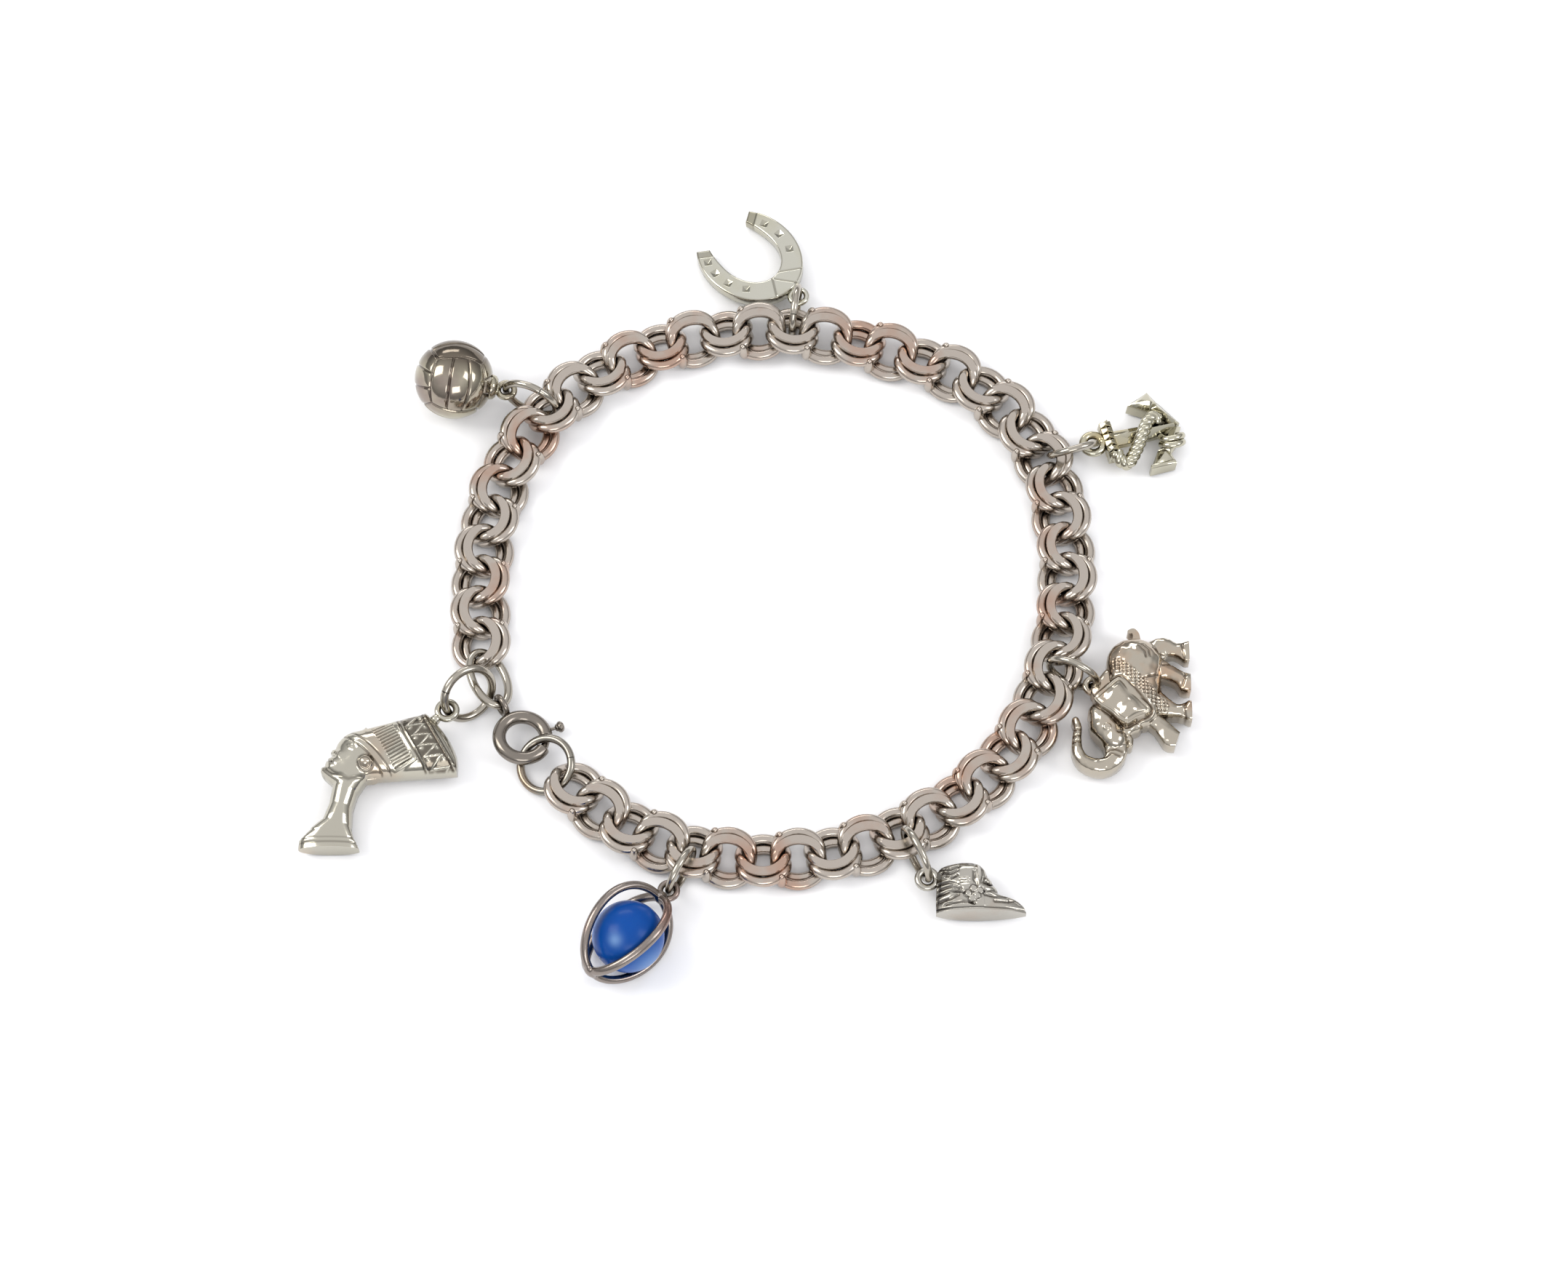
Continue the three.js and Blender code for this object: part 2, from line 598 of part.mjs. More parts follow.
function claspBody() {
  const end = CLASP.mouth + 360;
  const tube = toSolid(arcBar(CLASP.heel, end, CLASP.tube, 18, 8));
  const bore = toSolid(arcBar(CLASP.heel - 10, end + 10, CLASP.bore, 20, 8));
  const slotFrom = BOLT.knobAt - 8;
  const slotTo = BOLT.knobAt + BOLT.travel + 8;
  const slot = [];
  for (let i = 0; i <= 4; i += 1) {
    const angle = slotFrom + ((slotTo - slotFrom) * i) / 4;
    slot.push([[0, -0.3], [1.4, -0.3], [1.4, 0.3], [0, 0.3]].map(
      ([out, up]) => around(angle, CLASP.radius + out).setZ(up)).reverse());
  }
  const eye = wireOval(1.0, 1.0, 0.3, 10, 6)
    .rotateX(Math.PI / 2)
    .rotateZ(degrees(CLASP.eyeAt))
    .translate(...around(CLASP.eyeAt, 4.2).toArray());
  return tube.subtract(bore).subtract(toSolid(skin(slot))).add(
    toSolid(eye).subtract(toSolid(arcBar(CLASP.eyeAt - 30, CLASP.eyeAt + 30, CLASP.tube - 0.1, 5, 8))));
}

function claspBolt() {
  const stem = bar([
    { at: around(BOLT.knobAt, 2.4), radius: 0.2 }, { at: around(BOLT.knobAt, 3.7), radius: 0.2 },
  ], 6);
  const knob = egg(around(BOLT.knobAt, 3.75), point(0.45, 0.45, 0.45), 0, 8, 6);
  return join([arcBar(BOLT.tip, BOLT.tail, BOLT.wire, 10, 6), stem, knob]);
}

addPiece('clasp_ring', toGeometry(claspBody()), silver, clasp);
addPiece('clasp_bolt', toGeometry(claspBolt()), silver, clasp);

// ---------------------------------------------------------------- origin

// The origin is the middle of the whole bracelet's box, on the table.
bracelet.updateMatrixWorld(true);
const box = new THREE.Box3().setFromObject(layout, true);
const centre = box.getCenter(new THREE.Vector3());
layout.position.set(-centre.x, -centre.y, -box.min.z);

export default bracelet;
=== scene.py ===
import math

import bmesh
import bpy
import numpy as np
from mathutils import Euler, Matrix, Vector


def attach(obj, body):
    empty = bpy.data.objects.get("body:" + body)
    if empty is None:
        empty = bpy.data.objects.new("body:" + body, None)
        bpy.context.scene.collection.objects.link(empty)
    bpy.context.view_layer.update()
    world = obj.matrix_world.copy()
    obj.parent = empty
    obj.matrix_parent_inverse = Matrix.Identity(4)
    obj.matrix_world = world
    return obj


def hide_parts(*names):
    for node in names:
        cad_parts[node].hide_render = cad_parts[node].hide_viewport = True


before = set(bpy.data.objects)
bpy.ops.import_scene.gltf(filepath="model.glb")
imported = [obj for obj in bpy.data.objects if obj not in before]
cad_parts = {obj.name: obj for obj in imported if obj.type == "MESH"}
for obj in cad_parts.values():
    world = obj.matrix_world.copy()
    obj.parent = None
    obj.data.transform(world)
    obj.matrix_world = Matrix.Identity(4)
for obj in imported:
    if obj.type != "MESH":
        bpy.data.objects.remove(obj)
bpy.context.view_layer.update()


# ---------------------------------------------------------------- table, camera and light
# The bracelet lies on a sheet of white paper, and a camera looks down at it from the
# clasp's side. The light is a bright, soft studio: a pale room and large soft boxes.

MM = 0.001
VIEW_HEIGHT = math.radians(65.5)            # how steeply the camera looks down
VIEW_DISTANCE = 430 * MM
VIEW_AIM = Vector((3.557, -4.965, 0)) * MM
VIEW_LENS = 95.49                           # in millimetres, on a sensor 36 mm wide
TABLE_HALF = 4                              # in metres, so that the paper fills every view
PAPER_FIBRE = 1.11                          # coarser than real fibres, so that they show


def hex_colour(code):
    """Turns an sRGB colour such as #c0b8ae into the linear one that a shader takes."""
    shares = [int(code[i:i + 2], 16) / 255 for i in (1, 3, 5)]
    linear = [s / 12.92 if s <= 0.04045 else ((s + 0.055) / 1.055) ** 2.4 for s in shares]
    return (*linear, 1.0)


def add_node(tree, kind, inputs=None, **settings):
    """Adds a node, with its settings, and its inputs as numbers or as links."""
    node = tree.nodes.new(kind)
    for name, value in settings.items():
        setattr(node, name, value)
    for name, value in (inputs or {}).items():
        if isinstance(value, bpy.types.NodeSocket):
            tree.links.new(value, node.inputs[name])
        else:
            node.inputs[name].default_value = value
    return node


camera_data = bpy.data.cameras.new("camera")
camera_data.sensor_width = 36
camera_data.lens = VIEW_LENS
camera_data.clip_start = 0.01
camera_data.clip_end = 20
camera = bpy.data.objects.new("camera", camera_data)
camera.location = VIEW_AIM + VIEW_DISTANCE * Vector(
    (0, -math.cos(VIEW_HEIGHT), math.sin(VIEW_HEIGHT)))
camera.rotation_euler = (math.pi / 2 - VIEW_HEIGHT, 0, 0)
bpy.context.scene.collection.objects.link(camera)
bpy.context.scene.camera = camera
bpy.context.scene.view_settings.view_transform = "Standard"

# Uncoated paper: a flat, cool white with a faint tooth and no shine.
paper = bpy.data.materials.new("matt_white_paper")
paper.use_nodes = True
paper_tree = paper.node_tree
paper_place = add_node(paper_tree, "ShaderNodeTexCoord")
paper_fibre = add_node(paper_tree, "ShaderNodeTexNoise", {
    "Vector": paper_place.outputs["Object"], "Scale": 1 / (PAPER_FIBRE * MM), "Detail": 3})
paper_bump = add_node(paper_tree, "ShaderNodeBump", {
    "Height": paper_fibre.outputs["Fac"], "Strength": 0.2, "Distance": 0.02 * MM})
paper_shader = paper_tree.nodes["Principled BSDF"]
paper_shader.inputs["Base Color"].default_value = hex_colour("#f6f6f7")
paper_shader.inputs["Roughness"].default_value = 0.7
paper_shader.inputs["Specular IOR Level"].default_value = 0.2
paper_tree.links.new(paper_bump.outputs["Normal"], paper_shader.inputs["Normal"])

table_mesh = bpy.data.meshes.new("table")
table_mesh.from_pydata(
    [(x * TABLE_HALF, y * TABLE_HALF, 0) for x, y in ((-1, -1), (1, -1), (1, 1), (-1, 1))],
    [], [(0, 1, 2, 3)])
table_mesh.materials.append(paper)
table = bpy.data.objects.new("table", table_mesh)
bpy.context.scene.collection.objects.link(table)

# The room's walls are bright above and dimmer towards the table.
room = bpy.data.worlds.new("pale_room")
room.use_nodes = True
room_tree = room.node_tree
room_way = add_node(room_tree, "ShaderNodeTexCoord").outputs["Generated"]
room_height = add_node(room_tree, "ShaderNodeSeparateXYZ", {"Vector": room_way}).outputs["Z"]
room_light = add_node(room_tree, "ShaderNodeMapRange", {
    "Value": room_height, "From Min": 0.1, "From Max": 0.75, "To Min": 0.42, "To Max": 1.2})
room_glow = room_tree.nodes["Background"]
room_glow.inputs["Color"].default_value = hex_colour("#f4f4f6")
room_tree.links.new(room_light.outputs["Result"], room_glow.inputs["Strength"])
bpy.context.scene.world = room

# Each soft box: its place and size in metres, its power and its colour.
SOFT_BOXES = {
    "left": {"at": (-0.75, 0.1, 0.75), "size": (0.45, 0.6), "power": 4.3, "tint": "#fffdf8"},
    "right": {"at": (0.8, -0.15, 0.7), "size": (0.35, 0.55), "power": 2.5, "tint": "#fbfcff"},
    "front": {"at": (0.1, -0.95, 0.6), "size": (0.6, 0.35), "power": 2.4, "tint": "#ffffff"},
    "back": {"at": (-0.15, 0.95, 0.45), "size": (0.6, 0.2), "power": 1.6, "tint": "#ffffff"},
}
for name, box in SOFT_BOXES.items():
    lamp = bpy.data.lights.new(f"soft_box_{name}", "AREA")
    lamp.shape = "RECTANGLE"
    lamp.size, lamp.size_y = box["size"]
    lamp.energy = box["power"]
    lamp.color = hex_colour(box["tint"])[:3]
    holder = bpy.data.objects.new(lamp.name, lamp)
    holder.location = box["at"]
    holder.rotation_euler = (-Vector(box["at"])).to_track_quat("-Z", "Y").to_euler()
    bpy.context.scene.collection.objects.link(holder)


# ---------------------------------------------------------------- the chain
# Twenty-five units of round silver wire. Each unit is two pairs of rings, bent so that a
# pair stands high on one side and low on the other, and soldered together by a drop of
# silver on each side. The finished chain was ground flat above and below and polished.

UNITS = 25
HALF_PITCH = 3.53       # from one pair of rings to the next
RING_LONG = 2.36        # a ring's half-lengths, along the chain and across it
RING_WIDE = 2.1
RING_RISE = 0.92        # how far a pair's two sides are bent up and down
RING_TWIST = 2.3        # how suddenly it crosses from one side to the other
RING_SHIFT = 0.475      # how far the two wires of a pair are set apart, across and in height
RING_STEP = 0.22
LINK_WIRE = 0.52
CHAIN_HALF = 1.43       # where the chain was ground flat
SOLDER_OUT = 2.3
SOLDER_SIZE = (0.56, 0.54, 1.42)
# How coarse the silver's patterns are, in millimetres: patches where it has warmed in
# tone, soft dents, and fine scratches and specks, drawn coarser than real ones to show.
WARM_PATCH = 9.1
DENT = 1.43
SPECK = 0.556
SCRATCH_DEPTH = 0.004


def silver(name, clean, warm, patina_and_shade_colour, roughness, hollows, dents, warm_from=0.5):
    """Silver: clean where it is touched, warmer in patches, darker in its hollows.

    The darkening in the hollows is patina and painted shade: an ambient-occlusion mask paints
    the dark colour where the surface is hidden. hollows is how far that mask reaches and dents
    how deep the dents are, both in millimetres. A mesh attribute, where a piece has it, marks
    more patina, and on the volleyball painted shade as well.
    """
    material = bpy.data.materials.new(name)
    material.use_nodes = True
    tree = material.node_tree
    place = add_node(tree, "ShaderNodeTexCoord").outputs["Object"]
    patches = add_node(tree, "ShaderNodeTexNoise", {
        "Vector": place, "Scale": 1 / (WARM_PATCH * MM), "Detail": 4, "Roughness": 0.6})
    warmth = add_node(tree, "ShaderNodeMapRange", {
        "Value": patches.outputs["Fac"], "From Min": warm_from, "From Max": warm_from + 0.16})
    toned = add_node(tree, "ShaderNodeMix", {
        "Factor": warmth.outputs["Result"], 6: hex_colour(clean), 7: hex_colour(warm)},
        data_type="RGBA")
    # Tarnish and painted shade: ambient occlusion, broken up by specks, darkens the colour where
    # the surface is hidden.
    hidden = add_node(tree, "ShaderNodeAmbientOcclusion", {"Distance": hollows * MM}, samples=8)
    speckle = add_node(tree, "ShaderNodeTexNoise", {
        "Vector": place, "Scale": 1 / (SPECK * MM), "Detail": 5, "Roughness": 0.65})
    depth = add_node(tree, "ShaderNodeMath", {
        0: hidden.outputs["AO"], 1: speckle.outputs["Fac"]}, operation="ADD")
    occluded_patina_and_shade = add_node(tree, "ShaderNodeMapRange", {
        "Value": depth.outputs["Value"], "From Min": 0.6, "From Max": 1.12,
        "To Min": 1.0, "To Max": 0.0})
    # A mesh attribute adds marked patina, and on the volleyball painted shade.
    marked = add_node(tree, "ShaderNodeAttribute", attribute_name="hollow")
    patina_and_shade_mask = add_node(tree, "ShaderNodeMath", {
        0: occluded_patina_and_shade.outputs["Result"], 1: marked.outputs["Fac"]}, operation="MAXIMUM")
    colour_with_patina_and_shade = add_node(tree, "ShaderNodeMix", {
        "Factor": patina_and_shade_mask.outputs["Value"], 6: toned.outputs[2], 7: hex_colour(patina_and_shade_colour)},
        data_type="RGBA")
    sheen = add_node(tree, "ShaderNodeMapRange", {
        "Value": speckle.outputs["Fac"], "From Min": 0.3, "From Max": 0.7,
        "To Min": roughness * 0.8, "To Max": roughness * 1.35})
    wobble = add_node(tree, "ShaderNodeTexNoise", {
        "Vector": place, "Scale": 1 / (DENT * MM), "Detail": 2})
    dented = add_node(tree, "ShaderNodeBump", {
        "Height": wobble.outputs["Fac"], "Distance": dents * MM, "Strength": 0.8})
    scratched = add_node(tree, "ShaderNodeBump", {
        "Height": speckle.outputs["Fac"], "Distance": SCRATCH_DEPTH * MM, "Strength": 0.6,
        "Normal": dented.outputs["Normal"]})
    shader = tree.nodes["Principled BSDF"]
    shader.inputs["Metallic"].default_value = 1.0
    tree.links.new(colour_with_patina_and_shade.outputs[2], shader.inputs["Base Color"])
    tree.links.new(sheen.outputs["Result"], shader.inputs["Roughness"])
    tree.links.new(scratched.outputs["Normal"], shader.inputs["Normal"])
    return material


def cad_axes(name):
    """The middle of a CAD node's surface and its main directions, the longest first."""
    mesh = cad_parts[name].data
    mesh.calc_loop_triangles()
    places = np.array([v.co for v in mesh.vertices], float)
    corners = places[np.array([t.vertices[:] for t in mesh.loop_triangles])]
    sides = np.cross(corners[:, 1] - corners[:, 0], corners[:, 2] - corners[:, 0])
    areas = np.linalg.norm(sides, axis=1) / 2
    middles = corners.mean(axis=1)
    centre = (areas[:, None] * middles).sum(0) / areas.sum()
    corners -= centre
    middles -= centre
    spread = np.einsum("t,tci,tcj->ij", areas, corners, corners)
    spread += 9 * np.einsum("t,ti,tj->ij", areas, middles, middles)
    directions = np.linalg.eigh(spread)[1]
    return Vector(centre), [Vector(directions[:, i]) for i in (2, 1, 0)]


def mesh_object(name, mesh):
    """An object at the origin that shows a mesh."""
    piece = bpy.data.objects.new(name, mesh)
    bpy.context.scene.collection.objects.link(piece)
    return piece


def evaluated(piece):
    """Turns an object with its modifiers into a plain mesh object of the same name."""
    graph = bpy.context.evaluated_depsgraph_get()
    mesh = bpy.data.meshes.new_from_object(
        piece.evaluated_get(graph), preserve_all_data_layers=True, depsgraph=graph)
    piece.modifiers.clear()
    piece.data = mesh
    mesh.name = piece.name
    return piece


def sweep(bm, middles, outlines, closed=True):
    """Skins a row of outlines, each a list of offsets from its own middle."""
    rows = [[bm.verts.new(middle + offset) for offset in outline]
            for middle, outline in zip(middles, outlines)]
    count = len(rows[0])
    spans = len(rows) if closed else len(rows) - 1
    for i in range(spans):
        here, there = rows[i], rows[(i + 1) % len(rows)]
        for j in range(count):
            k = (j + 1) % count
            bm.faces.new((here[j], here[k], there[k], there[j]))
    if not closed:
        bm.faces.new(list(reversed(rows[0])))
        bm.faces.new(rows[-1])


def round_outline(side, over, radius, sides):
    """A circle of offsets in the plane of two directions at right angles."""
    turns = [2 * math.pi * j / sides for j in range(sides)]
    return [radius * (math.cos(t) * side + math.sin(t) * over) for t in turns]


def add_ring_wire(bm, middle, up, which, steps=44, sides=14):
    """One of the two wires of a pair of rings: which is 1 or -1."""
    gap = which * Vector((0, up * RING_SHIFT, -RING_STEP))

    def place(angle):
        rise = RING_RISE * math.tanh(RING_TWIST * math.sin(angle)) / math.tanh(RING_TWIST)
        return Vector((middle + RING_LONG * math.cos(angle), RING_WIDE * math.sin(angle),
                       up * rise))

    middles, outlines = [], []
    for i in range(steps):
        angle = 2 * math.pi * i / steps
        ahead = (place(angle + 0.01) - place(angle - 0.01)).normalized()
        apart = gap - gap.dot(ahead) * ahead
        side = apart.normalized()
        middles.append(place(angle) + apart)
        outlines.append(round_outline(side, ahead.cross(side), LINK_WIRE, sides))
    sweep(bm, middles, outlines)


def grind_flat(bm, height):
    """Cuts off what stands above a height, or below minus it, and leaves flat ends."""
    for facing in (1, -1):
        cut = bmesh.ops.bisect_plane(
            bm, geom=bm.verts[:] + bm.edges[:] + bm.faces[:], dist=1e-5,
            plane_co=(0, 0, facing * height), plane_no=(0, 0, facing), clear_outer=True)
        rims = [e for e in cut["geom_cut"] if isinstance(e, bmesh.types.BMEdge)]
        for edge in rims:
            edge.smooth = False
        bmesh.ops.holes_fill(bm, edges=rims, sides=0)


def finished(name, bm):
    """A smooth-shaded object from a bmesh, still in the bmesh's millimetres."""
    bmesh.ops.recalc_face_normals(bm, faces=bm.faces)
    for face in bm.faces:
        face.smooth = True
    mesh = bpy.data.meshes.new(name)
    bm.to_mesh(mesh)
    bm.free()
    return mesh_object(name, mesh)


unit_bm = bmesh.new()
for middle, up in ((0, -1), (HALF_PITCH, 1)):
    for which in (1, -1):
        add_ring_wire(unit_bm, middle, up, which)
for side in (1, -1):
    drop = bmesh.ops.create_uvsphere(unit_bm, u_segments=16, v_segments=12, radius=1)
    bmesh.ops.transform(
        unit_bm, verts=drop["verts"],
        matrix=Matrix.Translation((HALF_PITCH / 2, side * SOLDER_OUT, 0))
        @ Matrix.Diagonal((*SOLDER_SIZE, 1)))
grind_flat(unit_bm, CHAIN_HALF)
unit = finished("soldered_unit", unit_bm)
unit.data.transform(Matrix.Scale(MM, 4))

# One point for each unit, at its first pair of rings, with the turn of the unit.
links = [f"link_{i + 1:02d}" for i in range(UNITS)]
middles, aheads = zip(*((centre, axes[0]) for centre, axes in map(cad_axes, links)))
starts, turns = [], []
for i in range(UNITS):
    onward = middles[i + 1] - middles[i] if i < UNITS - 1 else middles[i] - middles[i - 1]
    ahead = aheads[i] if aheads[i].dot(onward) > 0 else -aheads[i]
    inward = Vector((0, 0, 1)).cross(ahead).normalized()
    basis = Matrix((ahead, inward, ahead.cross(inward))).transposed()
    starts.append(middles[i] - ahead * HALF_PITCH / 2 * MM)
    turns.append(basis.to_euler())
row = bpy.data.meshes.new("chain")
row.from_pydata(starts, [], [])
turn_store = row.attributes.new("turn", "FLOAT_VECTOR", "POINT")
turn_store.data.foreach_set("vector", [a for turn in turns for a in turn])
chain = mesh_object("chain", row)

chain_tree = bpy.data.node_groups.new("units_in_a_row", "GeometryNodeTree")
chain_ways = chain_tree.interface
chain_ways.new_socket("Geometry", in_out="INPUT", socket_type="NodeSocketGeometry")
unit_way = chain_ways.new_socket("Unit", in_out="INPUT", socket_type="NodeSocketObject")
metal_way = chain_ways.new_socket("Metal", in_out="INPUT", socket_type="NodeSocketMaterial")
chain_ways.new_socket("Geometry", in_out="OUTPUT", socket_type="NodeSocketGeometry")
given = add_node(chain_tree, "NodeGroupInput")
one_unit = add_node(chain_tree, "GeometryNodeObjectInfo", {"Object": given.outputs["Unit"]})
unit_turn = add_node(chain_tree, "GeometryNodeInputNamedAttribute", {"Name": "turn"},
                     data_type="FLOAT_VECTOR")
laid = add_node(chain_tree, "GeometryNodeInstanceOnPoints", {
    "Points": given.outputs["Geometry"], "Instance": one_unit.outputs["Geometry"],
    "Rotation": unit_turn.outputs["Attribute"]})
real = add_node(chain_tree, "GeometryNodeRealizeInstances", {
    "Geometry": laid.outputs["Instances"]})
coated = add_node(chain_tree, "GeometryNodeSetMaterial", {
    "Geometry": real.outputs["Geometry"], "Material": given.outputs["Metal"]})
add_node(chain_tree, "NodeGroupOutput", {"Geometry": coated.outputs["Geometry"]})

# Polished sterling silver, years after: a warm grey, faintly pink in places where the
# plating has worn, with brown tarnish and painted shade between the wires.
chain_silver = silver(
    "worn_polished_silver", clean="#b3aaa0", warm="#b19686", patina_and_shade_colour="#4a3d32",
    roughness=0.2, hollows=0.8, dents=0.028, warm_from=0.52)
builder = chain.modifiers.new("units_in_a_row", "NODES")
builder.node_group = chain_tree
builder[unit_way.identifier] = unit
builder[metal_way.identifier] = chain_silver
evaluated(chain)
bpy.data.objects.remove(unit)
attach(chain, "bracelet")
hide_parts(*links)


# ---------------------------------------------------------------- jump rings
# Each charm hangs on a ring of round silver wire, bent closed and left unsoldered, so that
# a fine slit shows where its ends meet. The end ring is oval and soldered shut.

ring_tree = bpy.data.node_groups.new("bent_wire_ring", "GeometryNodeTree")
ring_ways = {}
for label, kind in (("Long", "Float"), ("Wide", "Float"), ("Wire", "Float"),
                    ("Closed Part", "Float"), ("Metal", "Material")):
    ring_ways[label] = ring_tree.interface.new_socket(
        label, in_out="INPUT", socket_type=f"NodeSocket{kind}").identifier
ring_tree.interface.new_socket("Geometry", in_out="OUTPUT", socket_type="NodeSocketGeometry")
asked = add_node(ring_tree, "NodeGroupInput").outputs
bend = add_node(ring_tree, "GeometryNodeCurveArc", {
    "Resolution": 97, "Radius": 1.0, "Sweep Angle": asked["Closed Part"]})
oval_size = add_node(ring_tree, "ShaderNodeCombineXYZ", {
    "X": asked["Long"], "Y": asked["Wide"], "Z": 1.0})
oval = add_node(ring_tree, "GeometryNodeTransform", {
    "Geometry": bend.outputs["Curve"], "Scale": oval_size.outputs["Vector"]})
section = add_node(ring_tree, "GeometryNodeCurvePrimitiveCircle", {
    "Resolution": 20, "Radius": asked["Wire"]})
wire = add_node(ring_tree, "GeometryNodeCurveToMesh", {
    "Curve": oval.outputs["Geometry"], "Profile Curve": section.outputs["Curve"],
    "Fill Caps": True})
smooth_wire = add_node(ring_tree, "GeometryNodeSetShadeSmooth", {
    "Geometry": wire.outputs["Mesh"]})
whole_ring = add_node(ring_tree, "GeometryNodeRealizeInstances", {
    "Geometry": smooth_wire.outputs["Geometry"]})
silvered = add_node(ring_tree, "GeometryNodeSetMaterial", {
    "Geometry": whole_ring.outputs["Geometry"], "Material": asked["Metal"]})
add_node(ring_tree, "NodeGroupOutput", {"Geometry": silvered.outputs["Geometry"]})


def wire_ring(name, long, wide, wire_radius, metal, slit_at, slit):
    """A ring of wire in its own XY plane, its slit's place and width in degrees."""
    ring = mesh_object(name, bpy.data.meshes.new(name))
    builder = ring.modifiers.new("bent_wire_ring", "NODES")
    builder.node_group = ring_tree
    settings = {"Long": long, "Wide": wide, "Wire": wire_radius,
                "Closed Part": math.radians(360 - slit), "Metal": metal}
    for label, value in settings.items():
        builder[ring_ways[label]] = value
    evaluated(ring)
    ring.data.transform(Matrix.Rotation(math.radians(slit_at), 4, "Z"))
    return ring


SLIT = 1.6
# Each ring: its two half-lengths, its wire's radius and where its slit faces.
RINGS = {
    "ball_jump_ring": (2.45, 2.45, 0.38, 150),
    "bootee_jump_ring": (2.75, 2.75, 0.39, 60),
    "elephant_jump_ring": (2.6, 2.6, 0.38, 100),
    "anchor_jump_ring": (2.5, 2.5, 0.38, 200),
    "horseshoe_jump_ring": (2.6, 2.6, 0.38, 320),
    "volleyball_jump_ring": (2.85, 2.85, 0.4, 80),
    "head_jump_ring": (2.8, 2.8, 0.43, 230),
    "end_ring": (3.15, 1.9, 0.44, 0),
    "clasp_jump_ring": (2.75, 2.75, 0.42, 140),
}

# Polished silver wire, worn smooth: a cool grey with sharp bright lines along it.
ring_silver = silver(
    "worn_ring_silver", clean="#a7a196", warm="#a09482", patina_and_shade_colour="#3b322b",
    roughness=0.14, hollows=0.5, dents=0.012)
# The clasp's ring is toned darker than the others, to a brownish grey.
toned_ring_silver = silver(
    "toned_ring_silver", clean="#8d887f", warm="#93826f", patina_and_shade_colour="#352c27",
    roughness=0.18, hollows=0.6, dents=0.012)
for name, (long, wide, radius, slit_at) in RINGS.items():
    centre, (first, second, normal) = cad_axes(name)
    if normal.z < 0:
        normal = -normal
    turn = Matrix((first, normal.cross(first), normal)).transposed()
    unsoldered = long == wide    # only the oval end ring is soldered shut
    metal = toned_ring_silver if name == "clasp_jump_ring" else ring_silver
    ring = wire_ring(f"{name}_wire", long, wide, radius, metal, slit_at, SLIT * unsoldered)
    ring.data.transform(Matrix.Translation(centre) @ turn.to_4x4() @ Matrix.Scale(MM, 4))
    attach(ring, "bracelet")
    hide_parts(name)


# ---------------------------------------------------------------- the spring-ring clasp
# A hollow silver tube bent into a ring, with a mouth that its sprung bolt closes. The bolt
# is drawn back inside the tube by a small knob, which runs in a slot in the tube's outside.

CLASP_PLACE = ((-23.039, -17.648, 1.663), (-6.2, 7.7, -0.6))
CLASP_RADIUS = 2.4
CLASP_TUBE = 0.69           # the tube's outer and inner radius
CLASP_BORE = 0.47
TUBE_LIP = 0.05             # how much its ends are rounded off
CLASP_ENDS = (6, 332)       # these and the next ones are angles round the clasp, in degrees
SLOT_ENDS = (14, 68)
KNOB_AT = 22
BOLT_ENDS = (-37, 92)
CLASP_EYE_AT = 122
BOLT_WIRE = 0.39


def placed(place, turn):
    """The matrix from a piece's own millimetres to metres: its turn is roll, pitch, aim."""
    spin = Euler([math.radians(a) for a in turn], "XYZ").to_matrix().to_4x4()
    return Matrix.Translation(Vector(place) * MM) @ spin @ Matrix.Scale(MM, 4)


def add_bar(bm, path, radii, sides=18, closed=False):
    """A round bar along a path, with a radius for each point."""
    path = [Vector(p) for p in path]
    if not hasattr(radii, "__len__"):
        radii = [radii] * len(path)
    side = None
    outlines = []
    for i, radius in enumerate(radii):
        before = path[i - 1] if closed or i else path[i]
        after = path[(i + 1) % len(path)] if closed or i < len(path) - 1 else path[i]
        ahead = (after - before).normalized()
        if side is None:
            side = ahead.orthogonal().normalized()
        side = (side - side.dot(ahead) * ahead).normalized()
        outlines.append(round_outline(side, ahead.cross(side), radius, sides))
    sweep(bm, path, outlines, closed)


def add_egg(bm, centre, size, turn=0.0, around=24, down=16):
    """An egg-shaped solid, turned about Z by degrees."""
    made = bmesh.ops.create_uvsphere(bm, u_segments=around, v_segments=down, radius=1)
    bmesh.ops.transform(
        bm, verts=made["verts"],
        matrix=Matrix.Translation(centre) @ Matrix.Rotation(math.radians(turn), 4, "Z")
        @ Matrix.Diagonal((*size, 1)))


def add_eye(bm, radius, wire_radius, centre=(0, 0, 0), turn=None, steps=48, sides=16):
    """A small soldered loop of wire in the XY plane, or turned."""
    turn = turn or Matrix.Identity(3)
    loop = [Vector(centre) + turn @ Vector((radius * math.cos(a), radius * math.sin(a), 0))
            for a in (2 * math.pi * i / steps for i in range(steps))]
    add_bar(bm, loop, wire_radius, sides, closed=True)


def smooth_line(stations, per_span=6):
    """A smooth curve through points, as a list of vectors (Catmull-Rom)."""
    pts = [Vector(s) for s in stations]
    pts = [2 * pts[0] - pts[1], *pts, 2 * pts[-1] - pts[-2]]
    line = []
    for i in range(1, len(pts) - 2):
        a, b, c, d = pts[i - 1:i + 3]
        for k in range(per_span):
            t = k / per_span
            line.append(0.5 * (2 * b + (c - a) * t + (2 * a - 5 * b + 4 * c - d) * t ** 2
                               + (3 * b - a - 3 * c + d) * t ** 3))
    return [*line, pts[-2]]


def settle(piece, metal, place, turn, slot, replaced, body="bracelet"):
    """Gives a piece made in millimetres its metal, its place and its body."""
    piece.data.materials.clear()
    piece.data.materials.append(metal)
    piece.data.transform(placed(place, turn))
    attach(piece, body)
    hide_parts(replaced)


def round_clasp(angle, out=0.0, up=0.0):
    """A point on the clasp's round, or further out or up from it."""
    turn = math.radians(angle)
    reach = CLASP_RADIUS + out
    return Vector((reach * math.cos(turn), reach * math.sin(turn), up))


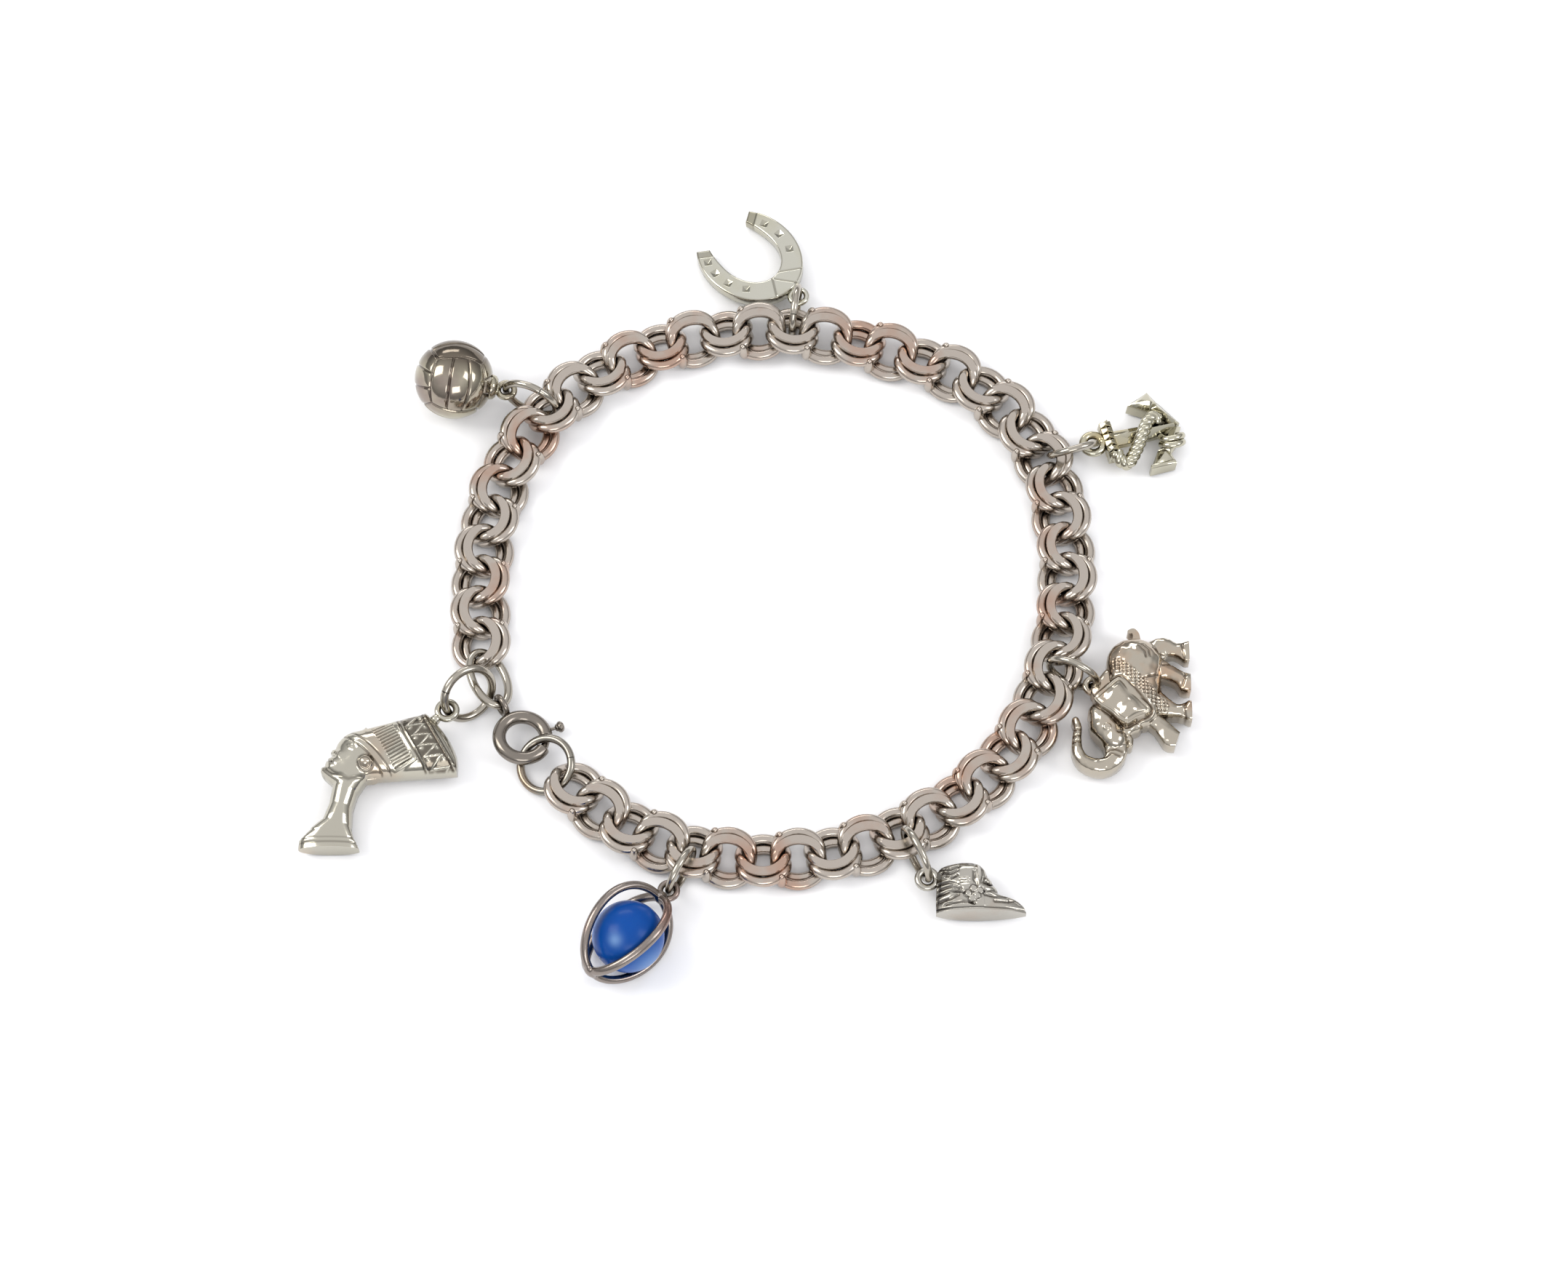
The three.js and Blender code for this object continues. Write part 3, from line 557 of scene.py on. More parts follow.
# The tube's wall, outside and inside, cell by cell, so that the slot is left open.
clasp_bm = bmesh.new()
sides, step = 28, 2
angles = list(range(CLASP_ENDS[0], CLASP_ENDS[1] + 1, step))
walls = []
for radius in (CLASP_TUBE, CLASP_BORE):
    wall = []
    for i, angle in enumerate(angles):
        ease = TUBE_LIP if radius == CLASP_TUBE and i in (0, len(angles) - 1) else 0.0
        wall.append([clasp_bm.verts.new(round_clasp(
            angle, (radius - ease) * math.cos(t), (radius - ease) * math.sin(t)))
            for t in (2 * math.pi * (j + 0.5) / sides for j in range(sides))])
    walls.append(wall)
outer, inner = walls


def in_slot(i, j):
    """Whether a cell of the wall is left out for the knob's slot."""
    return SLOT_ENDS[0] <= angles[i] < SLOT_ENDS[1] and j % sides in (sides - 1, 0, sides - 2)


for i in range(len(angles) - 1):
    for j in range(sides):
        k = (j + 1) % sides
        if not in_slot(i, j):
            clasp_bm.faces.new((outer[i][j], outer[i][k], outer[i + 1][k], outer[i + 1][j]))
            clasp_bm.faces.new((inner[i][k], inner[i][j], inner[i + 1][j], inner[i + 1][k]))
        if in_slot(i, j) != in_slot(i, k):
            clasp_bm.faces.new((outer[i][k], outer[i + 1][k], inner[i + 1][k], inner[i][k]))
        if in_slot(i, j) and not in_slot(i - 1, j):
            clasp_bm.faces.new((outer[i][j], outer[i][k], inner[i][k], inner[i][j]))
        if in_slot(i, j) and not in_slot(i + 1, j):
            clasp_bm.faces.new((outer[i + 1][j], outer[i + 1][k], inner[i + 1][k], inner[i + 1][j]))
for end in (0, -1):
    for j in range(sides):
        k = (j + 1) % sides
        clasp_bm.faces.new((outer[end][j], outer[end][k], inner[end][k], inner[end][j]))
upright = (Matrix.Rotation(math.radians(CLASP_EYE_AT), 3, "Z")
           @ Matrix.Rotation(math.pi / 2, 3, "X"))
add_eye(clasp_bm, 0.98, 0.31, round_clasp(CLASP_EYE_AT, 1.8), upright)
add_egg(clasp_bm, round_clasp(CLASP_EYE_AT, 0.86), (0.36, 0.36, 0.4), CLASP_EYE_AT)

# Toned silver tube: a dull brownish grey, darker in its hollows with tarnish and painted shade.
clasp_silver = silver(
    "tarnished_clasp_silver", clean="#827b73", warm="#967d6b", patina_and_shade_colour="#33261f",
    roughness=0.2, hollows=0.7, dents=0.012, warm_from=0.56)
settle(finished("clasp_tube", clasp_bm), clasp_silver, *CLASP_PLACE, "polished_silver",
       "clasp_ring")

bolt_bm = bmesh.new()
bolt_steps = 60
bolt_turns = [BOLT_ENDS[0] + (BOLT_ENDS[1] - BOLT_ENDS[0]) * i / bolt_steps
              for i in range(bolt_steps + 1)]
bolt_radii = [BOLT_WIRE * min(1, 0.55 + 0.16 * i, 0.7 + 0.2 * (bolt_steps - i))
              for i in range(bolt_steps + 1)]
add_bar(bolt_bm, [round_clasp(a) for a in bolt_turns], bolt_radii, 20)
add_bar(bolt_bm, [round_clasp(KNOB_AT, out) for out in (0, 0.5, 1.0, 1.3)], 0.17, 14)
add_egg(bolt_bm, round_clasp(KNOB_AT, 1.3), (0.16, 0.38, 0.38), KNOB_AT)
add_egg(bolt_bm, round_clasp(KNOB_AT, 1.7), (0.42, 0.6, 0.56), KNOB_AT)
add_egg(bolt_bm, round_clasp(KNOB_AT, 1.75, 0.5), (0.22, 0.26, 0.16), KNOB_AT)
settle(finished("clasp_bolt_and_knob", bolt_bm), clasp_silver, *CLASP_PLACE,
       "polished_silver", "clasp_bolt", body="clasp_bolt")


# ---------------------------------------------------------------- the caged glass ball
# A cat's-eye glass ball, deep blue, lies loose in a cage of four bowed silver wires that
# are soldered together at both ends, with a small eye at the top.

CAGE_PLACE = ((-7.951, -34.814, 3.013), (0, 0, -131))
CAGE_START = 1.3            # from the middle of its eye
CAGE_LENGTH = 10.2
CAGE_RADIUS = 4.4
CAGE_FULLNESS = 0.12        # how much wider the bows are towards the eye
CAGE_RISE = 0.6
CAGE_WIRE = (0.5, 0.43)     # flattened wire: its half-width and half-thickness
BOW_STEPS = 48
BALL_RADIUS = 3.6
BALL_CENTRE = (6.4, 0.36, 0.607)
FIBRE_BUNDLE = (16.7, 2.38) # long and thick, coarser than real fibres so that they show


def soldered(name, bm, voxel, easing):
    """Melts overlapping solids into one, their joins rounded over as solder leaves them."""
    piece = finished(name, bm)
    melt = piece.modifiers.new("melt", "REMESH")
    melt.mode = "VOXEL"
    melt.voxel_size = voxel
    melt.use_smooth_shade = True
    ease = piece.modifiers.new("ease", "SMOOTH")
    ease.factor = 0.5
    ease.iterations = easing
    return evaluated(piece)


cage_bm = bmesh.new()
for roll in (45, 135, 225, 315):
    bow, flats = [], []
    spin = Matrix.Rotation(math.radians(roll), 3, "X")
    for i in range(BOW_STEPS + 1):
        angle = math.pi * i / BOW_STEPS
        along = CAGE_START + CAGE_LENGTH / 2 * (1 - math.cos(angle))
        out = CAGE_RADIUS * math.sin(angle) * (1 + CAGE_FULLNESS * math.cos(angle))
        bow.append(spin @ Vector((along, out, 0)) + Vector((0, 0, CAGE_RISE)))
    for i, here in enumerate(bow):
        ahead = (bow[min(i + 1, BOW_STEPS)] - bow[max(i - 1, 0)]).normalized()
        flat = spin @ Vector((0, 0, 1))
        over = ahead.cross(flat)
        flats.append([CAGE_WIRE[0] * math.cos(t) * flat + CAGE_WIRE[1] * math.sin(t) * over
                      for t in (2 * math.pi * j / 16 for j in range(16))])
    sweep(cage_bm, bow, flats, closed=False)
add_egg(cage_bm, (CAGE_START - 0.1, 0, CAGE_RISE), (0.65, 0.8, 0.75))
add_egg(cage_bm, (CAGE_START + CAGE_LENGTH + 0.05, 0, CAGE_RISE), (0.5, 0.85, 0.8))
add_bar(cage_bm, [(0.75, 0, 0.1), (1.3, 0, 0.4)], 0.4)
add_eye(cage_bm, 0.85, 0.32)
cage = soldered("silver_cage", cage_bm, voxel=0.095, easing=3)
# Tarnished silver wire: dark grey, with bright lines along its bows.
cage_silver = silver(
    "tarnished_cage_silver", clean="#8b827c", warm="#8a7168", patina_and_shade_colour="#2c2521",
    roughness=0.21, hollows=0.9, dents=0.012, warm_from=0.5)
settle(cage, cage_silver, *CAGE_PLACE, "dark_silver", "ball_cage")

# Painted highlights and glow, laid into the glass's colour as pale spots: for each, the way
# from the ball's middle that it faces, how far it spreads, in radians, and how strong it is.
PAINTED_HIGHLIGHTS = [((0.53, 0.02, 0.85), 0.19, 0.6), ((0.2, 0.97, 0.0), 0.55, 0.55),
              ((0.75, -0.62, 0.1), 0.3, 0.24), ((0.2, -0.9, 0.35), 0.35, 0.3)]


def bell(away, width):
    """One where a distance is nought, falling smoothly to nothing on either side."""
    return np.exp(-(away / width) ** 2)


ball_bm = bmesh.new()
bmesh.ops.create_icosphere(ball_bm, subdivisions=6, radius=BALL_RADIUS)
# Each point of the glass keeps how strongly the painted highlights lie on it.
milky = ball_bm.verts.layers.float.new("milky")
for vert in ball_bm.verts:
    for way, spread, strength in PAINTED_HIGHLIGHTS:
        off = vert.co.angle(Vector(way))
        vert[milky] = max(vert[milky], strength * bell(off, spread))
bmesh.ops.translate(ball_bm, verts=ball_bm.verts, vec=BALL_CENTRE)

# Polished glass full of fine fibres: a deep blue, streaked along the fibres, with painted
# highlights and glow in a milky pale blue, its own shine soft as it comes from below the surface.
cats_eye = bpy.data.materials.new("cats_eye_glass")
cats_eye.use_nodes = True
eye_tree = cats_eye.node_tree
eye_place = add_node(eye_tree, "ShaderNodeTexCoord").outputs["Object"]
long_way, thin_way = (1 / (size * MM) for size in FIBRE_BUNDLE)
eye_fibre = add_node(eye_tree, "ShaderNodeMapping", {
    "Vector": eye_place, "Scale": (long_way, long_way, thin_way), "Rotation": (0.5, 0.9, 0.3)})
eye_streaks = add_node(eye_tree, "ShaderNodeTexNoise", {
    "Vector": eye_fibre.outputs["Vector"], "Scale": 1.0, "Detail": 2})
eye_tone = add_node(eye_tree, "ShaderNodeMix", {
    "Factor": eye_streaks.outputs["Fac"], 6: hex_colour("#04418c"), 7: hex_colour("#0a54ae")},
    data_type="RGBA")
# The painted highlights and glow, mixed into the colour as a pale blue.
eye_highlight_mask = add_node(eye_tree, "ShaderNodeAttribute", attribute_name="milky")
eye_with_highlights = add_node(eye_tree, "ShaderNodeMix", {
    "Factor": eye_highlight_mask.outputs["Fac"], 6: eye_tone.outputs[2], 7: hex_colour("#86aad4")},
    data_type="RGBA")
eye_shader = eye_tree.nodes["Principled BSDF"]
eye_tree.links.new(eye_with_highlights.outputs[2], eye_shader.inputs["Base Color"])
eye_shader.inputs["Roughness"].default_value = 0.26
eye_shader.inputs["Specular IOR Level"].default_value = 0.12
eye_shader.inputs["IOR"].default_value = 1.45
eye_shader.inputs["Transmission Weight"].default_value = 0.15
eye_shader.inputs["Subsurface Weight"].default_value = 0.2
eye_shader.inputs["Subsurface Radius"].default_value = (0.0004, 0.0008, 0.002)
settle(finished("cats_eye_ball", ball_bm), cats_eye, *CAGE_PLACE, "blue_glass", "glass_ball")


# ---------------------------------------------------------------- the anchor
# Cast silver with crisp facets: a ridged shank, a bar across it, two arms that end in
# pointed flukes, and a twisted rope wound round it and over an arm.

ANCHOR_PLACE = ((36.005, 15.729, 1.913), (0, 3.5, 15))
ROPE = [(1.95, -1.7, 0.6), (2.2, -2.6, 0.25), (2.9, -3.0, -0.1), (3.6, -2.5, 0.15),
        (4.4, -1.6, 0.6), (5.2, -0.5, 1.0), (6.0, 0.6, 1.0), (6.8, 1.2, 0.85),
        (7.5, 0.8, 0.5)]
COILS = [[(7.2, -0.9, 0.1), (7.5, -1.6, 0.75), (8.5, -1.75, 1.0), (9.25, -1.45, 0.6),
          (9.45, -1.2, 0.0)],
         [(7.0, -1.7, 0.1), (7.45, -2.3, 0.75), (8.4, -2.5, 0.95), (9.1, -2.2, 0.55),
          (9.3, -1.8, -0.1)]]


def add_facets(bm, outline, ridge, low, edge_high, ridge_high):
    """A faceted bar: an outline whose top rises to the points of a ridge inside it."""
    base = [bm.verts.new((x, y, low)) for x, y in outline]
    rim = [bm.verts.new((x, y, edge_high)) for x, y in outline]
    top = [bm.verts.new((x, y, ridge_high)) for x, y in ridge]
    count = len(outline)
    bm.faces.new(list(reversed(base)))
    for i in range(count):
        k = (i + 1) % count
        bm.faces.new((base[i], base[k], rim[k], rim[i]))
    nearest = [min(range(len(ridge)), key=lambda r: (Vector(corner) - Vector(ridge[r])).length)
               for corner in outline]
    for i in range(count):
        k = (i + 1) % count
        a, b = nearest[i], nearest[k]
        bm.faces.new((rim[i], rim[k], top[a]))
        while a != b:
            onward = a + (1 if b > a else -1)
            bm.faces.new((rim[k], top[onward], top[a]))
            a = onward


def add_rope(bm, stations, radius=0.4, out=0.33, strands=3, pitch=2.1, per_span=14):
    """A laid rope: strands that wind round a smooth line."""
    line = smooth_line(stations, per_span)
    length = 0.0
    side = None
    paths = [[] for _ in range(strands)]
    for i, here in enumerate(line):
        before, after = line[max(i - 1, 0)], line[min(i + 1, len(line) - 1)]
        ahead = (after - before).normalized()
        side = side or ahead.orthogonal().normalized()
        side = (side - side.dot(ahead) * ahead).normalized()
        over = ahead.cross(side)
        length += (here - line[max(i - 1, 0)]).length
        for s, path in enumerate(paths):
            t = 2 * math.pi * (length / pitch + s / strands)
            path.append(here + out * (math.cos(t) * side + math.sin(t) * over))
    for path in paths:
        last = len(path) - 1
        ends = [min(1.0, 0.45 + 0.2 * i, 0.45 + 0.2 * (last - i)) for i in range(last + 1)]
        add_bar(bm, path, [radius * e for e in ends], 16)


# Each faceted part: its outline, the points of the ridge inside it, and the heights of its
# underside, its edge and its ridge.
ANCHOR_PARTS = {
    "shank": ([(1.9, -0.85), (1.9, 0.95), (4.9, 0.85), (9.0, 0.62), (9.0, -0.62), (4.9, -0.85)],
              [(2.3, 0.1), (8.9, 0.1)], (-0.65, 0.1, 0.75)),
    "bar": ([(1.3, -2.3), (1.3, 1.9), (2.2, 2.3), (2.2, -2.3)],
            [(1.75, -2.0), (1.75, 1.9)], (-0.7, 0.4, 0.7)),
    "upper_arm": ([(8.6, -0.1), (7.3, 1.9), (6.4, 2.4), (7.6, 3.6), (8.15, 2.85), (9.65, 0.2)],
                  [(9.1, 0.35), (7.7, 2.4)], (-0.65, 0.15, 0.8)),
    "lower_arm": ([(8.6, 0.1), (9.65, -0.2), (8.6, -2.2), (7.6, -3.1), (6.4, -2.4), (7.3, -1.9)],
                  [(9.1, -0.35), (7.7, -2.4)], (-0.65, 0.15, 0.7)),
    "upper_fluke": ([(4.75, 3.35), (7.25, 4.4), (7.9, 2.9), (6.8, 2.1)],
                    [(6.2, 3.35), (7.1, 3.0)], (-1.3, 0.45, 1.2)),
    "lower_fluke": ([(5.1, -4.25), (6.4, -2.4), (7.7, -2.7), (7.95, -4.15)],
                    [(6.4, -3.5), (7.0, -2.9)], (-1.3, 0.1, 0.7)),
    "lower_fluke_edge": ([(5.1, -4.45), (5.15, -3.95), (7.8, -3.85), (7.95, -4.35)],
                         [(5.8, -4.15), (7.3, -4.1)], (-1.3, 0.45, 0.6)),
}
FACET_WORN = 0.05
CRISP = 26              # facets that meet at more than this angle stay sharp
BAR_BLOCKS = 6          # the blocks that stand side by side on the bar
BAR_START = -2.3
BAR_PITCH = 0.72
BLOCK_WIDE = 0.67

anchor_bm = bmesh.new()
for outline, ridge, heights in ANCHOR_PARTS.values():
    add_facets(anchor_bm, outline, ridge, *heights)
for i in range(BAR_BLOCKS):
    low = BAR_START + BAR_PITCH * i
    high = low + BLOCK_WIDE
    add_facets(anchor_bm, [(1.15, low), (1.15, high), (2.4, high + 0.05), (2.4, low)],
               [(1.75, low + 0.2), (1.75, high - 0.2)], -0.75, 0.55, 0.95)
for edge in anchor_bm.edges:
    edge.smooth = False
bmesh.ops.bevel(anchor_bm, geom=anchor_bm.edges[:], offset=FACET_WORN, segments=1,
                affect="EDGES", clamp_overlap=True)
for edge in anchor_bm.edges:
    edge.smooth = True
add_rope(anchor_bm, ROPE)
for coil in COILS:
    add_bar(anchor_bm, smooth_line(coil), 0.38, 18)
add_eye(anchor_bm, 1.05, 0.43)
add_egg(anchor_bm, (1.1, 0, 0), (0.5, 0.6, 0.5))
# Pale cast silver, bright on its facets, with a yellowish tone in patches.
anchor_silver = silver(
    "pale_cast_silver", clean="#b7b3a1", warm="#b3a47a", patina_and_shade_colour="#463d2d",
    roughness=0.12, hollows=0.7, dents=0.015, warm_from=0.48)
anchor = finished("anchor_charm", anchor_bm)
settle(anchor, anchor_silver, *ANCHOR_PLACE, "antiqued_silver", "anchor")
anchor.data.set_sharp_from_angle(angle=math.radians(CRISP))


# ---------------------------------------------------------------- the volleyball
# A hollow silver ball, pressed with the seams of a volleyball's panels: three strips on
# each of six sides. A collar and an eye are soldered to it. The seams hold dark tarnish.

VOLLEYBALL_PLACE = ((-25.696, 21.447, 3.213), (0, 0, 172))
VOLLEYBALL_CENTRE = Vector((5.5, 0, 0.957))
VOLLEYBALL_RADIUS = 4.15
STRIP = math.radians(15)
SIDE_EDGE = math.radians(45)
SEAM = {"deep": 0.16, "wide": 0.12, "puff": 0.06, "puff_wide": 0.3, "stain_wide": 0.11}


def seam_distance(way):
    """How far a direction on the ball is from the nearest seam, in radians."""
    sizes = [abs(c) for c in way]
    facing = sizes.index(max(sizes))
    along, across = (facing + 1) % 3, (facing + 2) % 3
    a = math.atan2(sizes[along], sizes[facing])
    b = math.atan2(sizes[across], sizes[facing])
    return min(abs(a - STRIP), SIDE_EDGE - a, SIDE_EDGE - b)


# The ball lies with one side's strips running up and down, and the next side's across.
ball_turn = Matrix.Rotation(math.radians(-VOLLEYBALL_PLACE[1][2]), 3, "Z")
for angle, axis in ((38, "X"), (12, "Y"), (-9, "Z")):
    ball_turn = ball_turn @ Matrix.Rotation(math.radians(angle), 3, axis)
volley_bm = bmesh.new()
# This layer holds the seams' tarnish and the painted shade on the upper side.
toned = volley_bm.verts.layers.float.new("hollow")
bmesh.ops.create_icosphere(volley_bm, subdivisions=7, radius=1)
for vert in volley_bm.verts:
    way = vert.co.normalized()
    off = VOLLEYBALL_RADIUS * seam_distance((way.z, way.x, way.y))
    # Tarnish lies in the seams, and the side that faces up and away is darkened too, as painted
    # shade.
    painted_shade_top = min(1, max(0, 2.2 * way.y - 0.35))
    vert[toned] = max(0.8 * bell(off, SEAM["stain_wide"]), 0.75 * painted_shade_top)
    puff = SEAM["puff"] * (1 - math.exp(-off / SEAM["puff_wide"]))
    height = puff - SEAM["deep"] * bell(off, SEAM["wide"])
    vert.co = VOLLEYBALL_CENTRE + ball_turn @ way * (VOLLEYBALL_RADIUS - SEAM["puff"] + height)
collar = [(1.0, 0.95), (1.25, 1.25), (1.6, 1.35), (1.9, 1.3)]
tilt = VOLLEYBALL_CENTRE.normalized()
add_bar(volley_bm, [tilt * reach for reach, _ in collar], [wide for _, wide in collar], 32)
add_eye(volley_bm, 0.85, 0.33)
add_egg(volley_bm, (0.95, 0, 0.1), (0.4, 0.7, 0.5))
# Thin pressed silver, toned to a warm grey that mirrors the room in bright spots.
volley_silver = silver(
    "toned_ball_silver", clean="#aca693", warm="#91857c", patina_and_shade_colour="#4a3d38",
    roughness=0.11, hollows=0.45, dents=0.035, warm_from=0.46)
settle(finished("volleyball_charm", volley_bm), volley_silver, *VOLLEYBALL_PLACE,
       "dark_silver", "volleyball")


# ---------------------------------------------------------------- the baby bootee
# Cast silver in the shape of a laced baby bootee, lying on its side, with a flat polished
# sole. Its creases, its lace and its bow are left dark with tarnish.

BOOTEE_PLACE = ((17.895, -33.135, 1.913), (0, 0, 0))
SOLE_Y = -3.85
BOOTEE_THICK = 1.68
BOOTEE_OUTLINE = [
    (1.2, 0.8), (3.2, 1.45), (4.9, 1.4), (5.7, 0.8), (6.1, -0.1), (6.9, -1.3), (7.2, -1.85),
    (8.3, -2.2), (9.2, -2.75), (9.75, -3.6), (9.7, -5.4), (5.2, -5.8), (1.2, -5.4),
    (0.85, -3.4), (0.9, -1.5)]


def path_distance(path, x, y):
    """For each point, the distance to a path and how far along it, counted in corners."""
    best = np.full(x.shape, 1e9)
    along = np.zeros(x.shape)
    for i, ((ax, ay), (bx, by)) in enumerate(zip(path, path[1:])):
        dx, dy = bx - ax, by - ay
        t = np.clip(((x - ax) * dx + (y - ay) * dy) / (dx * dx + dy * dy), 0, 1)
        away = np.hypot(x - ax - t * dx, y - ay - t * dy)
        along = np.where(away < best, i + t, along)
        best = np.minimum(best, away)
    return best, along


def limb(x, y, *stations):
    """How deep each point lies inside a tapering limb, and the limb's radius there."""
    path = [(a, b) for a, b, _ in stations]
    away, along = path_distance(path, x, y)
    radius = np.interp(along, range(len(stations)), [r for _, _, r in stations])
    return radius - away, radius


def patch(x, y, corners, per_span=6):
    """How deep each point lies inside a smooth closed outline."""
    closed = [corners[-1], *corners, corners[0], corners[1]]
    line = [(p.x, p.y) for p in smooth_line([(a, b, 0) for a, b in closed], per_span)]
    line = line[per_span:-per_span]
    away, _ = path_distance(line, x, y)
    odd = np.zeros(x.shape, bool)
    for (ax, ay), (bx, by) in zip(line, line[1:]):
        if ay != by:
            odd ^= ((ay > y) != (by > y)) & (x < (bx - ax) * (y - ay) / (by - ay) + ax)
    return np.where(odd, away, -away)


def pillow(depth, high, width):
    """The height of a rounded edge: nothing outside, full height from a width inwards."""
    return high * np.sqrt(1 - (1 - np.clip(depth / width, 0, 1)) ** 2)


def melt(parts, softness):
    """The highest of several fields, with softened valleys where they meet."""
    top = np.max(parts, axis=0)
    return top + softness * np.log(np.sum(np.exp((np.array(parts) - top) / softness), axis=0))


def line_mark(x, y, path, width):
    """One along a line, falling to nothing beside it."""
    away, _ = path_distance(path, x, y)
    return bell(away, width)


def cast_relief(name, box, shape, step):
    """A casting whose front and back are height fields inside an outline.

    shape(x, y) gives the depth inside the outline, the front, the back and the grime.
    """
    (x_low, y_low), (x_high, y_high) = box
    x, y = np.meshgrid(np.arange(x_low, x_high, step), np.arange(y_low, y_high, step))
    depth = shape(x, y)[0]
    kept = (depth[:-1, :-1] + depth[1:, :-1] + depth[:-1, 1:] + depth[1:, 1:]) > 0
    padded = np.pad(kept, 1)
    around = sum(padded[i:i + x.shape[0], j:j + x.shape[1]].astype(int)
                 for i in (0, 1) for j in (0, 1))
    rim = (around > 0) & (around < 4)
    for _ in range(2):
        slope_y, slope_x = [g / step for g in np.gradient(depth)]
        steep = np.maximum(slope_x ** 2 + slope_y ** 2, 0.2)
        x = np.where(rim, x - np.clip(depth * slope_x / steep, -step / 2, step / 2), x)
        y = np.where(rim, y - np.clip(depth * slope_y / steep, -step / 2, step / 2), y)
        depth, front, back, patina_and_shade_mask = shape(x, y)
    number = np.full(x.shape, -1)
    used = around > 0
    number[used] = np.arange(used.sum())
    count = int(used.sum())
    verts = np.concatenate([np.stack([x[used], y[used], z[used]], 1) for z in (front, back)])
    a, b, c, d = number[:-1, :-1], number[:-1, 1:], number[1:, 1:], number[1:, :-1]
    cells = np.stack([a[kept], b[kept], c[kept], d[kept]], 1)
    walls = []
    for first, second, beyond in (
            (a, b, np.pad(kept, ((1, 0), (0, 0)))[:-1]),
            (c, d, np.pad(kept, ((0, 1), (0, 0)))[1:]),
            (b, c, np.pad(kept, ((0, 0), (0, 1)))[:, 1:]),
            (d, a, np.pad(kept, ((0, 0), (1, 0)))[:, :-1])):
        edge = kept & ~beyond
        p, q = first[edge], second[edge]
        walls.append(np.stack([q, p, p + count, q + count], 1))
    faces = np.concatenate([cells, cells[:, ::-1] + count, *walls])
    mesh = bpy.data.meshes.new(name)
    mesh.from_pydata(verts.tolist(), [], faces.tolist())
    mesh.polygons.foreach_set("use_smooth", [True] * len(mesh.polygons))
    marks = mesh.attributes.new("hollow", "FLOAT", "POINT")
    marks.data.foreach_set("value", np.concatenate([patina_and_shade_mask[used], 0.6 * patina_and_shade_mask[used]]))
    mesh.set_sharp_from_angle(angle=math.radians(55))
    return mesh_object(name, mesh)


def join_up(piece, bm):
    """Adds more solids, such as the soldered eye, to a cast piece."""
    bm.from_mesh(piece.data)
    for face in bm.faces:
        face.smooth = True
    bm.to_mesh(piece.data)
    bm.free()


# Where the soft shoe folds, where its edges stand up, and the bow: for each of its knots
# and loops a place and a radius.
CREASES = [
    [(1.3, 0.75), (2.4, 0.6), (3.1, 0.85)], [(1.5, 0.3), (2.3, 0.1), (3.0, 0.4)],
    [(1.8, -0.1), (2.3, -0.4), (2.9, -0.1)], [(1.1, -0.9), (2.2, -0.8), (3.0, -1.15)],
    [(1.2, -1.45), (2.4, -1.3), (3.3, -1.55)], [(1.0, -2.1), (2.2, -1.75), (3.6, -1.95)],
    [(1.0, -2.8), (2.2, -2.6), (3.0, -2.2)], [(1.8, -3.1), (3.4, -2.9), (4.6, -3.2)],
    [(5.35, 0.9), (5.45, -0.1), (5.3, -0.9)], [(4.65, 0.3), (4.6, -0.6), (4.9, -1.2)],
    [(5.6, -0.9), (6.2, -1.1), (6.9, -0.9)], [(5.5, -1.85), (6.4, -1.7), (7.1, -1.75)],
    [(5.7, -2.2), (6.8, -2.35), (7.8, -2.3)], [(6.7, -2.85), (7.3, -2.8), (8.0, -2.85)],
    [(8.1, -2.75), (8.8, -2.65), (9.2, -2.9)], [(4.0, 1.15), (4.6, 1.2)]]
WELTS = [
    [(3.3, -0.5), (4.1, -0.45)], [(3.2, -0.78), (4.1, -0.74)], [(3.1, -1.08), (4.0, -1.04)],
    [(5.0, 1.1), (5.05, 0.0), (5.1, -1.0), (5.0, -1.7)], [(5.1, -1.7), (4.6, -2.2)]]
BOW = [(4.0, -2.1, 0.34), (4.4, -2.65, 0.38), (4.95, -2.35, 0.3), (4.55, -1.6, 0.36),
       (5.3, -1.85, 0.28), (6.15, -0.55, 0.42)]


